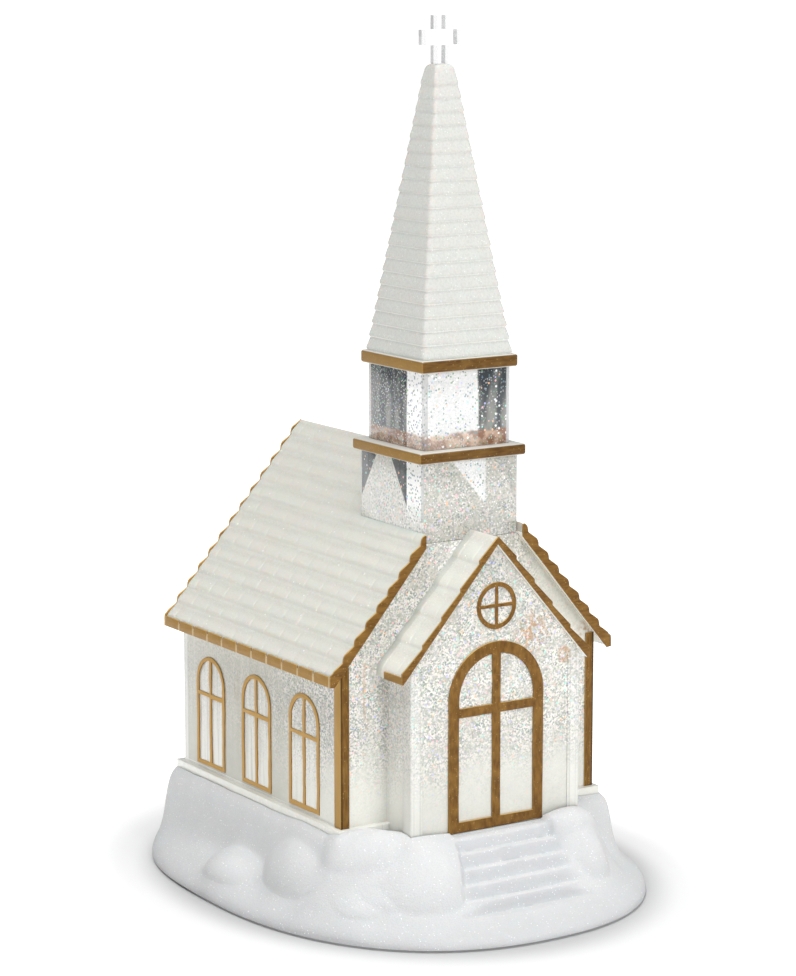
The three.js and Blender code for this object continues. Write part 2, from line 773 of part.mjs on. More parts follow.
function switchSlider() {
  const knob = box(-sliderHalfWidth, sliderHalfWidth, boardY - sliderHalfDepth, boardY + sliderHalfDepth,
    sliderBottomZ, plateTopZ + seatGap + sliderDepth);
  const grooves = [-1.3, 0, 1.3].map((x) => (
    box(x - 0.3, x + 0.3, boardY - 3, boardY + 3, 0, sliderBottomZ + 0.4)
  ));
  return cut(knob, ...grooves);
}

// Motor, shaft and drive hub

function motor() {
  const top = plateTopZ + motorHeight;
  const can = turned([
    [0, plateTopZ], [motorRadius - 0.8, plateTopZ], [motorRadius, plateTopZ + 0.8], [motorRadius, top - 0.8],
    [motorRadius - 0.8, top], [motorBossRadius, top], [motorBossRadius, top + motorBossHeight],
    [shaftRadius + shaftGap, top + motorBossHeight], [shaftRadius + shaftGap, shaftBottomZ() - seatGap],
    [0, shaftBottomZ() - seatGap],
  ], 0, pumpY, 20);
  return can;
}

const shaftBottomZ = () => plateTopZ + motorHeight + motorBossHeight + seatGap + 4.4 - shaftLength;

function motorShaft() {
  return rod(shaftRadius, shaftBottomZ(), shaftBottomZ() + shaftLength, 0, pumpY, 16);
}

function magnetHub() {
  const bottom = plateTopZ + motorHeight + motorBossHeight + seatGap;
  const disc = hubTopZ - hubDiscHeight;
  const boreTop = shaftBottomZ() + shaftLength + seatGap;
  const pocket = hubTopZ - magnetHeight - 0.1;
  return turned([
    [0, boreTop], [shaftRadius + shaftGap, boreTop],
    [shaftRadius + shaftGap, bottom], [hubStemRadius, bottom],
    [hubStemRadius, disc], [hubRadius, disc], [hubRadius, hubTopZ], [magnetOuterRadius + seatGap, hubTopZ],
    [magnetOuterRadius + seatGap, pocket], [magnetInnerRadius - seatGap, pocket],
    [magnetInnerRadius - seatGap, hubTopZ], [0, hubTopZ],
  ], 0, pumpY, 20);
}

function ringMagnet(bottom) {
  const top = bottom + magnetHeight;
  return turned([
    [magnetInnerRadius, bottom], [magnetOuterRadius, bottom], [magnetOuterRadius, top],
    [magnetInnerRadius, top], [magnetInnerRadius, bottom],
  ], 0, pumpY, 20);
}

// Light board and its domed lights

function lightBoard() {
  const disc = rod(lightBoardRadius, lightBoardZ, lightBoardZ + boardThickness, 0, pumpY, 32);
  return cut(disc, rod(lightBoardBore, 0, deckZ, 0, pumpY, 20));
}

function lightDome(x) {
  const z = lightBoardZ + boardThickness;
  const shoulder = z + ledHeight - ledRadius * 0.7;
  return turned([
    [0, z], [ledRadius + 0.4, z], [ledRadius + 0.4, z + 0.7], [ledRadius, z + 0.7], [ledRadius, shoulder],
    [ledRadius * 0.75, z + ledHeight - 0.5], [0, z + ledHeight],
  ], x, pumpY, 14);
}

// Chamber floor with the pin's boss, filler plug, pin and impeller

function chamberOutline(margin) {
  const nx = naveHalfWidth - wall - margin;
  const px = porchHalfWidth - wall - margin;
  const back = naveBackY - wall - margin;
  const front = naveFrontY + wall + margin;
  const porch = porchFrontY + wall + margin;
  const left = [[-nx, back], [-nx, front], [-px, front], [-px, porch]];
  const right = left.map(([x, y]) => [-x, y]).reverse();
  return [...left, ...right];
}

function chamberFloor() {
  const plate = alongZ(chamberOutline(seatGap), deckZ, floorTopZ);
  const boss = rod(floorBossRadius, floorTopZ - 1, floorTopZ + floorBossHeight, 0, pumpY, 16);
  const bore = rod(shaftRadius + shaftGap, pinBottomZ - 0.1, floorTopZ + floorBossHeight + 1, 0, pumpY, 16);
  const plugHole = rod(plugRadius + 0.1, deckZ - 1, floorTopZ + 1, 0, pumpY - plugOffset, 20);
  return cut(join(plate, boss), bore, plugHole);
}

function fillerPlug() {
  return turned([
    [0, deckZ - plugHeadHeight], [plugHeadRadius - 0.4, deckZ - plugHeadHeight],
    [plugHeadRadius, deckZ - plugHeadHeight + 0.4], [plugHeadRadius, deckZ], [plugRadius, deckZ],
    [plugRadius, floorTopZ], [0, floorTopZ],
  ], 0, pumpY - plugOffset, 20);
}

function impellerPin() {
  const head = impellerZ + impellerHeight + seatGap;
  return turned([
    [0, pinBottomZ], [shaftRadius, pinBottomZ], [shaftRadius, head], [pinHeadRadius, head],
    [pinHeadRadius, head + pinHeadHeight - 0.4], [pinHeadRadius - 0.5, head + pinHeadHeight],
    [0, head + pinHeadHeight],
  ], 0, pumpY, 16);
}

function impeller() {
  const discTop = impellerZ + impellerDiscHeight;
  const top = impellerZ + impellerHeight;
  const pocketTop = impellerZ + magnetHeight + 0.3;
  const bore = shaftRadius + shaftGap;
  const core = turned([
    [bore, impellerZ], [magnetInnerRadius - seatGap, impellerZ], [magnetInnerRadius - seatGap, pocketTop],
    [magnetOuterRadius + seatGap, pocketTop], [magnetOuterRadius + seatGap, impellerZ],
    [impellerDiscRadius, impellerZ], [impellerDiscRadius, discTop], [impellerHubRadius, discTop],
    [impellerHubRadius, top], [bore, top], [bore, impellerZ],
  ], 0, pumpY, 20);
  const inner = impellerHubRadius - 1;
  const blades = Array.from({ length: bladeCount }, (_, i) => {
    const blade = new THREE.BoxGeometry(bladeTipRadius - inner, bladeThickness, bladeHeight);
    blade.rotateX(bladeTurn);
    blade.translate((bladeTipRadius + inner) / 2, 0, top - bladeHeight / 2);
    blade.rotateZ((2 * Math.PI * i) / bladeCount);
    return blade.translate(0, pumpY, 0);
  });
  const bladeBore = rod(inner, discTop + 0.2, top + 2, 0, pumpY, 20);
  const vanes = blades.map((blade) => cut(blade, bladeBore));
  return join(core, ...vanes);
}

// Chapel walls

function gable(halfWidth, roof, bottomZ) {
  const side = seatZ(roof, halfWidth);
  const foot = [[-halfWidth, bottomZ], [halfWidth, bottomZ]];
  return [...foot, [halfWidth, side], [0, seatZ(roof, 0)], [-halfWidth, side]];
}

const towerFootZ = seatZ(naveRoof, towerHalfWidth + seatGap);

function chapelWalls() {
  const naveInner = naveHalfWidth - wall;
  const porchInner = porchHalfWidth - wall;
  const nave = alongY(gable(naveHalfWidth, naveRoof, deckZ), naveFrontY, naveBackY);
  const porch = alongY(gable(porchHalfWidth, porchRoof, deckZ), porchFrontY, naveFrontY + 1);
  const plinthBackY = naveBackY + plinthStandOff;
  const plinth = box(-plinthPad.x, plinthPad.x, plinthPad.front, plinthBackY, deckZ, deckZ + plinthHeight);
  const postTop = seatZ(porchRoof, porchHalfWidth + cornerPostProud) - 0.2;
  const posts = [-1, 1].map((side) => {
    const outer = side * (porchHalfWidth + cornerPostProud);
    const inner = outer - side * cornerPostWidth;
    const x0 = Math.min(outer, inner);
    const x1 = Math.max(outer, inner);
    return box(x0, x1, porchFrontY - cornerPostProud + 0.3, porchFrontY + cornerPostWidth, deckZ, postTop);
  });
  const naveRoom = box(-naveInner, naveInner, naveFrontY + wall, naveBackY - wall, deckZ - 1, ridgeZ + 10);
  const ceiling = { ...porchRoof, ridge: porchRidgeZ - porchCeiling, eave: porchEaveZ - porchCeiling };
  const porchRoom = alongY(gable(porchInner, ceiling, deckZ - 1), porchFrontY + wall, naveFrontY + wall + 1);
  const seatHalf = towerHalfWidth + seatGap;
  const towerSeat = box(-seatHalf, seatHalf, naveFrontY - 1, naveFrontY + wall + 1, towerFootZ, ridgeZ + 10);
  return cut(join(nave, porch, plinth, ...posts), naveRoom, porchRoom, towerSeat);
}

// Roofs

// The stepped upper line of a roof, from the right eave over the ridge to the left one
function courseLine(roof, lift = 0, stopX = 0) {
  const side = [];
  for (let i = 0; i < roof.courses; i += 1) {
    const low = (roof.half * (roof.courses - i)) / roof.courses;
    const high = (roof.half * (roof.courses - i - 1)) / roof.courses;
    if (low <= stopX) break;
    side.push([low, slopeZ(roof, low) + courseStep + lift]);
    const end = Math.max(high, stopX);
    const share = (low - end) / (low - high);
    side.push([end, slopeZ(roof, end) + courseStep * (1 - share) + lift]);
  }
  return side;
}

// Cross-section of a whole roof, with its underside
function roofSection(roof, lift = 0, extra = 0) {
  const half = roof.half + extra;
  const side = courseLine(roof, lift);
  side[0] = [half, side[0][1]];
  const lowZ = underZ(roof, roof.half);
  const left = mirrored(side).slice(1);
  const under = [[-roof.half, lowZ], [0, underZ(roof, 0)], [roof.half, lowZ]];
  return [[half, lowZ], ...side, ...left, [-half, lowZ], ...under]
    .filter(([x, z], i, all) => i === 0 || x !== all[i - 1][0] || z !== all[i - 1][1]);
}

// A joint between two shingles: deepest at the butt, fading out up the course
function jointWedge(butt, up, out, y, length) {
  const place = (along, across, high) => {
    const corner = butt.clone().addScaledVector(up, along).addScaledVector(out, high);
    return corner.add(new THREE.Vector3(0, y + across, 0));
  };
  const open = -0.4;
  const points = [place(open, -jointWidth, jointDepth), place(open, jointWidth, jointDepth),
    place(open, 0, -jointDepth), place(0.86 * length, 0, 0.1)];
  const geometry = new THREE.BufferGeometry().setFromPoints(points);
  const faces = [[0, 1, 2], [0, 3, 1], [1, 3, 2], [2, 3, 0]];
  const facing = out.clone().cross(up).y > 0 ? faces : faces.map(([a, b, c]) => [a, c, b]);
  geometry.setIndex(facing.flat());
  return geometry;
}

// Narrow joints between the shingles, staggered from course to course
function shingleJoints(roof, y0, y1) {
  const rise = (roof.ridge - roof.eave) / roof.courses - courseStep;
  const run = roof.half / roof.courses;
  const length = Math.hypot(rise, run);
  const count = Math.round((y1 - y0) / shingleWidth);
  const pitch = (y1 - y0) / count;
  const joints = [];
  for (const side of [-1, 1]) {
    const up = new THREE.Vector3((-side * run) / length, 0, rise / length);
    const out = new THREE.Vector3((side * rise) / length, 0, run / length);
    for (let i = 0; i < roof.courses; i += 1) {
      const low = (roof.half * (roof.courses - i)) / roof.courses;
      const butt = new THREE.Vector3(side * low, 0, slopeZ(roof, low) + courseStep);
      for (let j = i % 2 ? 0.5 : 1; j < count; j += 1) {
        joints.push(solid(jointWedge(butt, up, out, y0 + j * pitch, length)));
      }
    }
  }
  return wasm.Manifold.compose(joints);
}

function naveRoofPiece() {
  const slab = alongY(roofSection(naveRoof), roofFrontY, roofBackY);
  const towerRoom = box(-towerHalfWidth - seatGap, towerHalfWidth + seatGap, roofFrontY - 1,
    towerY + towerHalfWidth + seatGap, underZ(naveRoof, eaveHalfWidth), ridgeZ + 10);
  return cut(slab, towerRoom, shingleJoints(naveRoof, roofFrontY, roofBackY));
}

function porchRoofPiece() {
  const slab = alongY(roofSection(porchRoof), porchRoofFrontY, naveFrontY);
  return cut(slab, shingleJoints(porchRoof, porchRoofFrontY, naveFrontY));
}

// Tower, bands, belfry and spire

function square(half, z0, z1) {
  return box(-half, half, towerY - half, towerY + half, z0, z1);
}

function tower() {
  const bore = square(towerHalfWidth - towerWall, 0, lowerBandZ + 1);
  return cut(square(towerHalfWidth, towerFootZ, lowerBandZ), bore);
}

// A band has lightly broken edges; each level is [half width, z]
function band(half, z0, height, bore) {
  const z1 = z0 + height;
  const levels = [[half - bandLip, z0], [half, z0 + bandLip], [half, z1 - bandLip], [half - bandLip, z1]];
  return cut(stackedSquares(levels), square(bore, 0, z0 + height + 1));
}

function stackedSquares(levels) {
  const corners = [[1, -1], [1, 1], [-1, 1], [-1, -1]];
  const positions = [];
  const index = [];
  for (const [half, z] of levels) {
    for (const [x, y] of corners) positions.push(x * half, towerY + y * half, z);
  }
  const top = 4 * (levels.length - 1);
  index.push(0, 2, 1, 0, 3, 2);
  index.push(top, top + 1, top + 2, top, top + 2, top + 3);
  for (let k = 0; k < levels.length - 1; k += 1) {
    for (let i = 0; i < 4; i += 1) {
      const a = 4 * k + i;
      const b = 4 * k + ((i + 1) % 4);
      index.push(a, b, b + 4, a, b + 4, a + 4);
    }
  }
  const geometry = new THREE.BufferGeometry();
  geometry.setAttribute('position', new THREE.BufferAttribute(new Float32Array(positions), 3));
  geometry.setIndex(index);
  return geometry;
}

// The belfry's bore, a square with its corners cut off
function belfryBore(inset, z0, z1) {
  const half = belfryHalfWidth - towerWall - inset;
  const short = half - belfryChamfer;
  const corners = [[half, short], [short, half], [-short, half], [-half, short]];
  const outline = [...corners, ...corners.map(([x, y]) => [-x, -y])];
  return alongZ(outline.map(([x, y]) => [x, y + towerY]), z0, z1);
}

function belfry() {
  const body = square(belfryHalfWidth, lowerBandTopZ, upperBandZ);
  return cut(body, belfryBore(0, lowerBandTopZ - 1, upperBandZ + 1));
}

// The spire: courses with a saw-tooth edge, rounded shoulders, and a tapering hollow
function spire() {
  const half = (share) => THREE.MathUtils.lerp(spireBaseHalfWidth, spireTopHalfWidth, share);
  const levels = [];
  for (let i = 0; i < spireCourses; i += 1) {
    const low = i / spireCourses;
    const high = (i + 1) / spireCourses;
    const step = spireCourseStep * (1 - 0.5 * low);
    levels.push([half(low) + (i === 0 ? 0 : step), spireZ + low * spireHeight + (i === 0 ? 0 : 0.01)]);
    levels.push([half(high), spireZ + high * spireHeight]);
  }
  const top = spireZ + spireHeight;
  levels.push([spireTopHalfWidth - 0.3, top + 1.3]);
  levels.push([spireTopHalfWidth - 0.9, top + 2.2]);
  levels.push([crossBar / 2 + 0.3, spireTopZ]);
  const hollow = stackedSquares([
    [spireBaseHalfWidth - spireWall + 0.05, spireZ - 0.3],
    [1.2, top - spireHeight * 0.09],
  ]);
  return cut(stackedSquares(levels), hollow);
}

function spireCross() {
  const h = crossBar / 2;
  const s = crossSpan / 2;
  const low = crossArmZ;
  const high = crossArmZ + crossBar + 0.5;
  const outline = [[-h, 0], [h, 0], [h, low], [s, low], [s, high], [h, high], [h, crossHeight],
    [-h, crossHeight], [-h, high], [-s, high], [-s, low], [-h, low]];
  const shape = new THREE.Shape(outline.map(([x, y]) => new THREE.Vector2(x, y)));
  const bevel = {
    bevelThickness: crossBevel,
    bevelSize: crossBevel,
    bevelOffset: -crossBevel,
    bevelSegments: 1,
  };
  const geometry = new THREE.ExtrudeGeometry(shape, { depth: crossBar - 2 * crossBevel, ...bevel });
  geometry.translate(0, 0, crossBevel);
  geometry.applyMatrix4(new THREE.Matrix4().makeBasis(axisX, axisZ, axisY.clone().negate()));
  return geometry.translate(0, towerY + crossBar / 2, spireTopZ);
}

// Gold trims

// Front verge of the nave beside the tower, drawn for +X
function frontVerge() {
  const stopX = towerHalfWidth + seatGap;
  const half = eaveHalfWidth + trimThickness;
  const line = courseLine(naveRoof, trimLip, stopX);
  line[0] = [half, line[0][1]];
  const lowZ = underZ(naveRoof, eaveHalfWidth);
  const outline = [[half, lowZ], ...line, [stopX, underZ(naveRoof, stopX)], [eaveHalfWidth, lowZ]];
  return alongY(outline, roofFrontY - trimThickness, roofFrontY);
}

function rearVerge() {
  return alongY(roofSection(naveRoof, trimLip, trimThickness), roofBackY, roofBackY + trimThickness);
}

function porchVerge() {
  const section = roofSection(porchRoof, trimLip, trimThickness);
  const face = alongY(section, porchRoofFrontY - trimThickness, porchRoofFrontY);
  const lowZ = underZ(porchRoof, porchEaveHalfWidth);
  const returns = [-1, 1].map((side) => {
    const inner = side * porchEaveHalfWidth;
    const outer = side * (porchEaveHalfWidth + trimThickness);
    return box(Math.min(inner, outer), Math.max(inner, outer), porchRoofFrontY - 0.1,
      porchRoofFrontY + porchReturnLength, lowZ, lowZ + eaveTrimHeight);
  });
  return join(face, ...returns);
}

// Eave trim: one gold edge to each shingle, with a notch between them
function eaveTrim(side) {
  const count = Math.round((roofBackY - roofFrontY) / shingleWidth);
  const pitch = (roofBackY - roofFrontY) / count;
  const low = underZ(naveRoof, eaveHalfWidth);
  const top = low + eaveTrimHeight + courseStep;
  const outline = [[roofFrontY, low], [roofBackY, low], [roofBackY, top]];
  for (let j = count - 1; j > 0; j -= 1) {
    const y = roofFrontY + j * pitch;
    outline.push([y + eaveNotchWidth, top], [y + eaveNotchWidth / 2, top - eaveNotch]);
    outline.push([y - eaveNotchWidth / 2, top - eaveNotch], [y - eaveNotchWidth, top]);
  }
  outline.push([roofFrontY, top]);
  const inner = side * eaveHalfWidth;
  const outer = side * (eaveHalfWidth + trimThickness);
  return alongX(outline, Math.min(inner, outer), Math.max(inner, outer));
}

// Corner strip: an angle that wraps a front corner of the nave
function cornerStrip(side) {
  const x = side * naveHalfWidth;
  const y = naveFrontY;
  const outX = x + side * stripThickness;
  const outY = y - stripThickness;
  const inX = x - side * stripFrontWidth;
  const inY = y + stripSideWidth;
  const outline = [[outX, outY], [inX, outY], [inX, y], [x, y], [x, inY], [outX, inY]];
  const facing = side < 0 ? outline : outline.reverse();
  return alongZ(facing, deckZ + plinthHeight, seatZ(naveRoof, naveHalfWidth + stripThickness));
}

// A frame with a round arch, a mullion and a rail: the outline and its four lights
function archFrame(half, sillZ, springZ, frame, sill, mullion, railZ, rail, steps) {
  const inner = half - frame;
  const outline = [[-half, sillZ], [half, sillZ], ...arc(0, springZ, half, 0, Math.PI, steps)];
  const m = mullion / 2;
  const lowLight = [[m, sillZ + sill], [inner, sillZ + sill], [inner, railZ], [m, railZ]];
  const highLight = [[m, railZ + rail], [inner, railZ + rail],
    ...arc(0, springZ, inner, 0, Math.acos(m / inner), steps / 2)];
  const lights = [lowLight, highLight];
  return { outline, lights: [...lights, ...lights.map(mirrored)] };
}

function sideWindow(side, y) {
  const frame = archFrame(windowHalfWidth, windowSillZ, windowSpringZ, windowFrame, windowFrame,
    windowBar, windowRailZ, windowBar, 8);
  const shift = (points) => points.map(([u, z]) => [u + y, z]);
  const inner = side * naveHalfWidth;
  const outer = side * (naveHalfWidth + windowProud);
  const low = Math.min(inner, outer) - 1;
  const high = Math.max(inner, outer) + 1;
  const lights = frame.lights.map((light) => alongX(shift(light), low, high));
  return cut(alongX(shift(frame.outline), Math.min(inner, outer), Math.max(inner, outer)), ...lights);
}

function doorPiece() {
  const frame = archFrame(doorHalfWidth, doorSillZ, doorSpringZ, doorFrame, doorSill,
    doorMullion, doorRailZ, doorRail, 16);
  const lights = frame.lights.map((light) => alongY(light, porchFrontY - 2, porchFrontY + 1));
  return cut(alongY(frame.outline, porchFrontY - doorProud, porchFrontY), ...lights);
}

function roundWindow() {
  const inner = roundWindowRadius - roundWindowRing;
  const bar = roundWindowBar / 2;
  const from = Math.asin(bar / inner);
  const light = [[bar, bar], ...arc(0, 0, inner, from, Math.PI / 2 - from, 4)];
  const turn = ([x, z], k) => (k === 0 ? [x, z] : turn([-z, x], k - 1));
  const place = ([x, z]) => [x, z + roundWindowZ];
  const lights = [0, 1, 2, 3].map((k) => {
    return alongY(light.map((point) => place(turn(point, k))), porchFrontY - 2, porchFrontY + 1);
  });
  const ring = arc(0, 0, roundWindowRadius, 0, 2 * Math.PI, 24).slice(1).map(place);
  return cut(alongY(ring, porchFrontY - windowProud, porchFrontY), ...lights);
}

// Liquid: it fills the nave, the porch, the tower and the belfry, round the impeller
function liquidFill() {
  const bottom = floorTopZ + seatGap;
  const inset = wall + seatGap;
  const lowered = (roof, drop) => ({ ...roof, ridge: roof.ridge - drop, eave: roof.eave - drop });
  const naveShape = gable(naveHalfWidth - inset, lowered(naveRoof, seatGap), bottom);
  const porchShape = gable(porchHalfWidth - inset, lowered(porchRoof, porchCeiling + seatGap), bottom);
  const nave = alongY(naveShape, naveFrontY + inset, naveBackY - inset);
  const porch = alongY(porchShape, porchFrontY + inset, naveFrontY + wall + 1);
  const towerRoom = square(towerHalfWidth + seatGap, towerFootZ - seatGap, ridgeZ + 10);
  const shaft = square(towerHalfWidth - towerWall - seatGap, towerFootZ - 2, lowerBandZ - seatGap);
  const neck = square(bandBore - seatGap, lowerBandZ - 2, lowerBandTopZ + 2);
  const belfryRoom = belfryBore(seatGap, lowerBandTopZ + seatGap, upperBandZ - liquidTopDrop);
  const pumpRoom = rod(bladeTipRadius + impellerRoom, 0, impellerTopZ + impellerRoom, 0, pumpY, 24);
  return cut(join(cut(join(nave, porch), towerRoom), shaft, neck, belfryRoom), pumpRoom);
}

// Assembly

const chapel = new THREE.Group();
const base = new THREE.Group();
const pump = new THREE.Group();
const building = new THREE.Group();
const trims = new THREE.Group();
chapel.add(base, pump, building, trims);

piece(base, 'snow_base', snowBase(), snowFinish());
piece(base, 'base_plate', basePlate(), whitePlastic());
piece(base, 'battery_door', batteryDoor(), whitePlastic());
for (let i = 0; i < cellCount; i += 1) {
  const mesh = piece(base, `battery_cell_${i + 1}`, cell(i % 2 === 1), finish(0x3a4a5c, 0.4, 0.3));
  mesh.position.set(0, cellFirstY + cellPitch * i, cellZ);
}
piece(base, 'contact_right', contactStrip(), steelFinish());
piece(base, 'contact_left', solid(contactStrip()).mirror([1, 0, 0]), steelFinish());
piece(base, 'circuit_board', circuitBoard(), finish(0x2f6b46, 0.5));
piece(base, 'switch_body', switchBody(), steelFinish());
piece(base, 'switch_slider', switchSlider(), darkPlastic());
footPlaces().forEach(([x, y], i) => {
  piece(base, `foot_${i + 1}`, foot(), finish(0x4a4c4f, 0.9)).position.set(x, y, 0);
});
bossPlaces().forEach(([x, y], i) => {
  piece(base, `plate_screw_${i + 1}`, plateScrew(), steelFinish()).position.set(x, y, 0);
});

piece(pump, 'motor', motor(), steelFinish());
piece(pump, 'motor_shaft', motorShaft(), steelFinish());
piece(pump, 'magnet_hub', magnetHub(), whitePlastic());
piece(pump, 'drive_magnet', ringMagnet(hubTopZ - magnetHeight), finish(0x3c3d40, 0.6));
piece(pump, 'light_board', lightBoard(), finish(0xe4e6e4, 0.5));
piece(pump, 'light_left', lightDome(-ledOffset), finish(0xfff1cf, 0.2));
piece(pump, 'light_right', lightDome(ledOffset), finish(0xfff1cf, 0.2));
piece(pump, 'chamber_floor', chamberFloor(), clearFinish());
piece(pump, 'filler_plug', fillerPlug(), finish(0xd8dad9, 0.8));
piece(pump, 'impeller_pin', impellerPin(), steelFinish());
piece(pump, 'impeller', impeller(), whitePlastic());
piece(pump, 'impeller_magnet', ringMagnet(impellerZ + 0.1), finish(0x3c3d40, 0.6));
piece(pump, 'liquid_fill', liquidFill(), finish(0xf4f7f8, 0.05, 0, 0.3));

piece(building, 'chapel_walls', chapelWalls(), clearFinish());
piece(building, 'nave_roof', naveRoofPiece(), frostFinish());
piece(building, 'porch_roof', porchRoofPiece(), frostFinish());
piece(building, 'tower', tower(), clearFinish());
piece(building, 'lower_band', band(lowerBandHalfWidth, lowerBandZ, lowerBandHeight, bandBore), goldFinish());
piece(building, 'belfry', belfry(), clearFinish());
piece(building, 'upper_band', band(upperBandHalfWidth, upperBandZ, upperBandHeight, bandBore), goldFinish());
piece(building, 'spire', spire(), frostFinish());
piece(building, 'spire_cross', spireCross(), clearFinish());

piece(trims, 'front_verge_right', frontVerge(), goldFinish());
piece(trims, 'front_verge_left', solid(frontVerge()).mirror([1, 0, 0]), goldFinish());
piece(trims, 'rear_verge', rearVerge(), goldFinish());
piece(trims, 'eave_trim_left', eaveTrim(-1), goldFinish());
piece(trims, 'eave_trim_right', eaveTrim(1), goldFinish());
piece(trims, 'porch_verge', porchVerge(), goldFinish());
piece(trims, 'door_frame', doorPiece(), goldFinish());
piece(trims, 'round_window', roundWindow(), goldFinish());
piece(trims, 'corner_strip_front_left', cornerStrip(-1), goldFinish());
piece(trims, 'corner_strip_front_right', cornerStrip(1), goldFinish());
for (let i = 0; i < 3; i += 1) {
  const y = windowMiddleY + (i - 1) * windowSpacing;
  piece(trims, `window_left_${i + 1}`, sideWindow(-1, y), goldFinish());
  piece(trims, `window_right_${i + 1}`, sideWindow(1, y), goldFinish());
}

export default chapel;
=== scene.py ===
# %% [markdown]
# # A lighted water chapel
#
# The object is a clear plastic chapel full of water and glitter. It stands on a moulded snow base
# that holds the lights, the pump and the batteries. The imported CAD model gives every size, so the
# first thing this lesson does is to load it. It is never moved or changed afterwards.

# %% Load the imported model
import json
import math

import bmesh
import bpy
import numpy as np
from mathutils import Matrix, Vector

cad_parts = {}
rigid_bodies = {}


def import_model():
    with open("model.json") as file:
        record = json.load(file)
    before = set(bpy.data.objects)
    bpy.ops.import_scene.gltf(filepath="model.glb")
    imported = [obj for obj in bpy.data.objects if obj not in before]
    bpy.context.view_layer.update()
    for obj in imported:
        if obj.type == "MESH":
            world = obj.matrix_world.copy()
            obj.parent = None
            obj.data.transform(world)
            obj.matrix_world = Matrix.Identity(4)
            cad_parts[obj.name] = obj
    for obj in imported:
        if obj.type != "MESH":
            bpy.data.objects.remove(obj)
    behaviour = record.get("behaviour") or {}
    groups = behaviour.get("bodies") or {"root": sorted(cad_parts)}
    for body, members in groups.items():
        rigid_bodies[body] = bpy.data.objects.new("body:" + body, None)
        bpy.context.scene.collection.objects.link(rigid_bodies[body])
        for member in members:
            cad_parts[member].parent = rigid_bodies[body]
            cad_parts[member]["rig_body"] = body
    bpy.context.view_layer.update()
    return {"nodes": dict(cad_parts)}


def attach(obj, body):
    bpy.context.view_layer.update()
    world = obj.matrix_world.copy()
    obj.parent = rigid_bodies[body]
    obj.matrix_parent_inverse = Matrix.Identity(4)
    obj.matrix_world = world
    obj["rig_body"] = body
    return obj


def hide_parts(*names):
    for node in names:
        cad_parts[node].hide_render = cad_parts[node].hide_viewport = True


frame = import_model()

# %% [markdown]
# ## Sizes that the pieces share
#
# Lengths are written in millimetres, as on a workshop drawing, and turned into metres when a mesh
# is made. The sizes are those of the CAD model, so that each new piece sits where its node was.

# %% Sizes in millimetres
MM = 0.001
HALF_WIDTH, HALF_DEPTH = 86, 106
RIM_Z, RIM_RISE, SKIRT_RISE = 1, 5.5, 10
DECK_Z, SNOW_SINK, DECK_THICKNESS = 34.4, 0.8, 2.6
NAVE_HALF, NAVE_FRONT, NAVE_BACK = 58, -48.775, 72.575
PORCH_HALF, PORCH_FRONT = 37.9, -66.475
PLINTH_OUT, DOOR_PROUD, SEAT_GAP = 2.5, 0.8, 0.3
TOWER_HALF, TOWER_Y = 21.8, -26.975
LOWER_BAND_Z, BELFRY_Z, BELFRY_HALF, BELFRY_TALL = 174, 178.4, 19.55, 30
ROOF_HALF, EAVE_Z, RIDGE_Z, ROOF_DEPTH, ROOF_COURSES = 64.1, 97.2, 173.2, 3.1, 13
ROOF_FRONT, ROOF_BACK = -51.625, 75.475
SHINGLE_STEP, SHINGLE_WIDTH, EAVE_JOINT_PITCH = 1.3, 11.7, 11.555
WINDOW_Y, WINDOW_PITCH, WINDOW_SPRING = 14, 36.2, 73.9
PUMP_Y = 11.9
print("overall, in mm:", 2 * HALF_WIDTH, "by", 2 * HALF_DEPTH)

# %% [markdown]
# ## The camera
#
# The photograph was taken from the front left, a little above the roof's eaves, with a long lens:
# the upright edges hardly lean. The camera's place and direction were found by matching corners of
# the chapel with the picture. A matrix of right, up and back sets the direction at once.

# %% Place the camera
SENSOR, FOCAL_PIXELS, PHOTO_PIXELS = 36, 3061, 976
CAMERA_AT = (-642.9, -994.7, 364.4)


def new_object(name, data):
    """An object for some data, linked into the scene."""
    made = bpy.data.objects.new(name, data)
    bpy.context.scene.collection.objects.link(made)
    return made


camera_data = bpy.data.cameras.new("product_camera")
camera = new_object("product_camera", camera_data)
right = Vector((0.8403, -0.5421, 0)).normalized()
back = Vector((-0.5339, -0.8276, 0.1735)).normalized()
up = back.cross(right).normalized()
turn = Matrix((right, up, back)).transposed().to_4x4()
camera.matrix_world = Matrix.Translation(Vector(CAMERA_AT) * MM) @ turn
camera_data.sensor_width = SENSOR
camera_data.lens = FOCAL_PIXELS / PHOTO_PIXELS * SENSOR
camera_data.clip_start, camera_data.clip_end = 0.05, 200
bpy.context.scene.camera = camera
print("lens in mm:", round(camera_data.lens, 1))

# %% [markdown]
# ## Shader sums as Python sums
#
# A finish is a small network of nodes. Written out node by node it is hard to read, so a `Wire`
# stands for one output socket, and plus, minus, times and the others on it add the Math nodes.
# `a | b` is the larger of two masks and `a & b` the smaller. `Finish.coats` lays colours over a
# base, each with its mask, as a painter does. Every other node comes from `Finish.node`.

# %% A wire and a finish
def sign(operation, swapped=False):
    """A method that adds one Math node; swapped puts the second value first."""
    def method(wire, *others):
        values = (*others, wire) if swapped else (wire, *others)
        return wire.finish.maths(operation, *values)
    return method


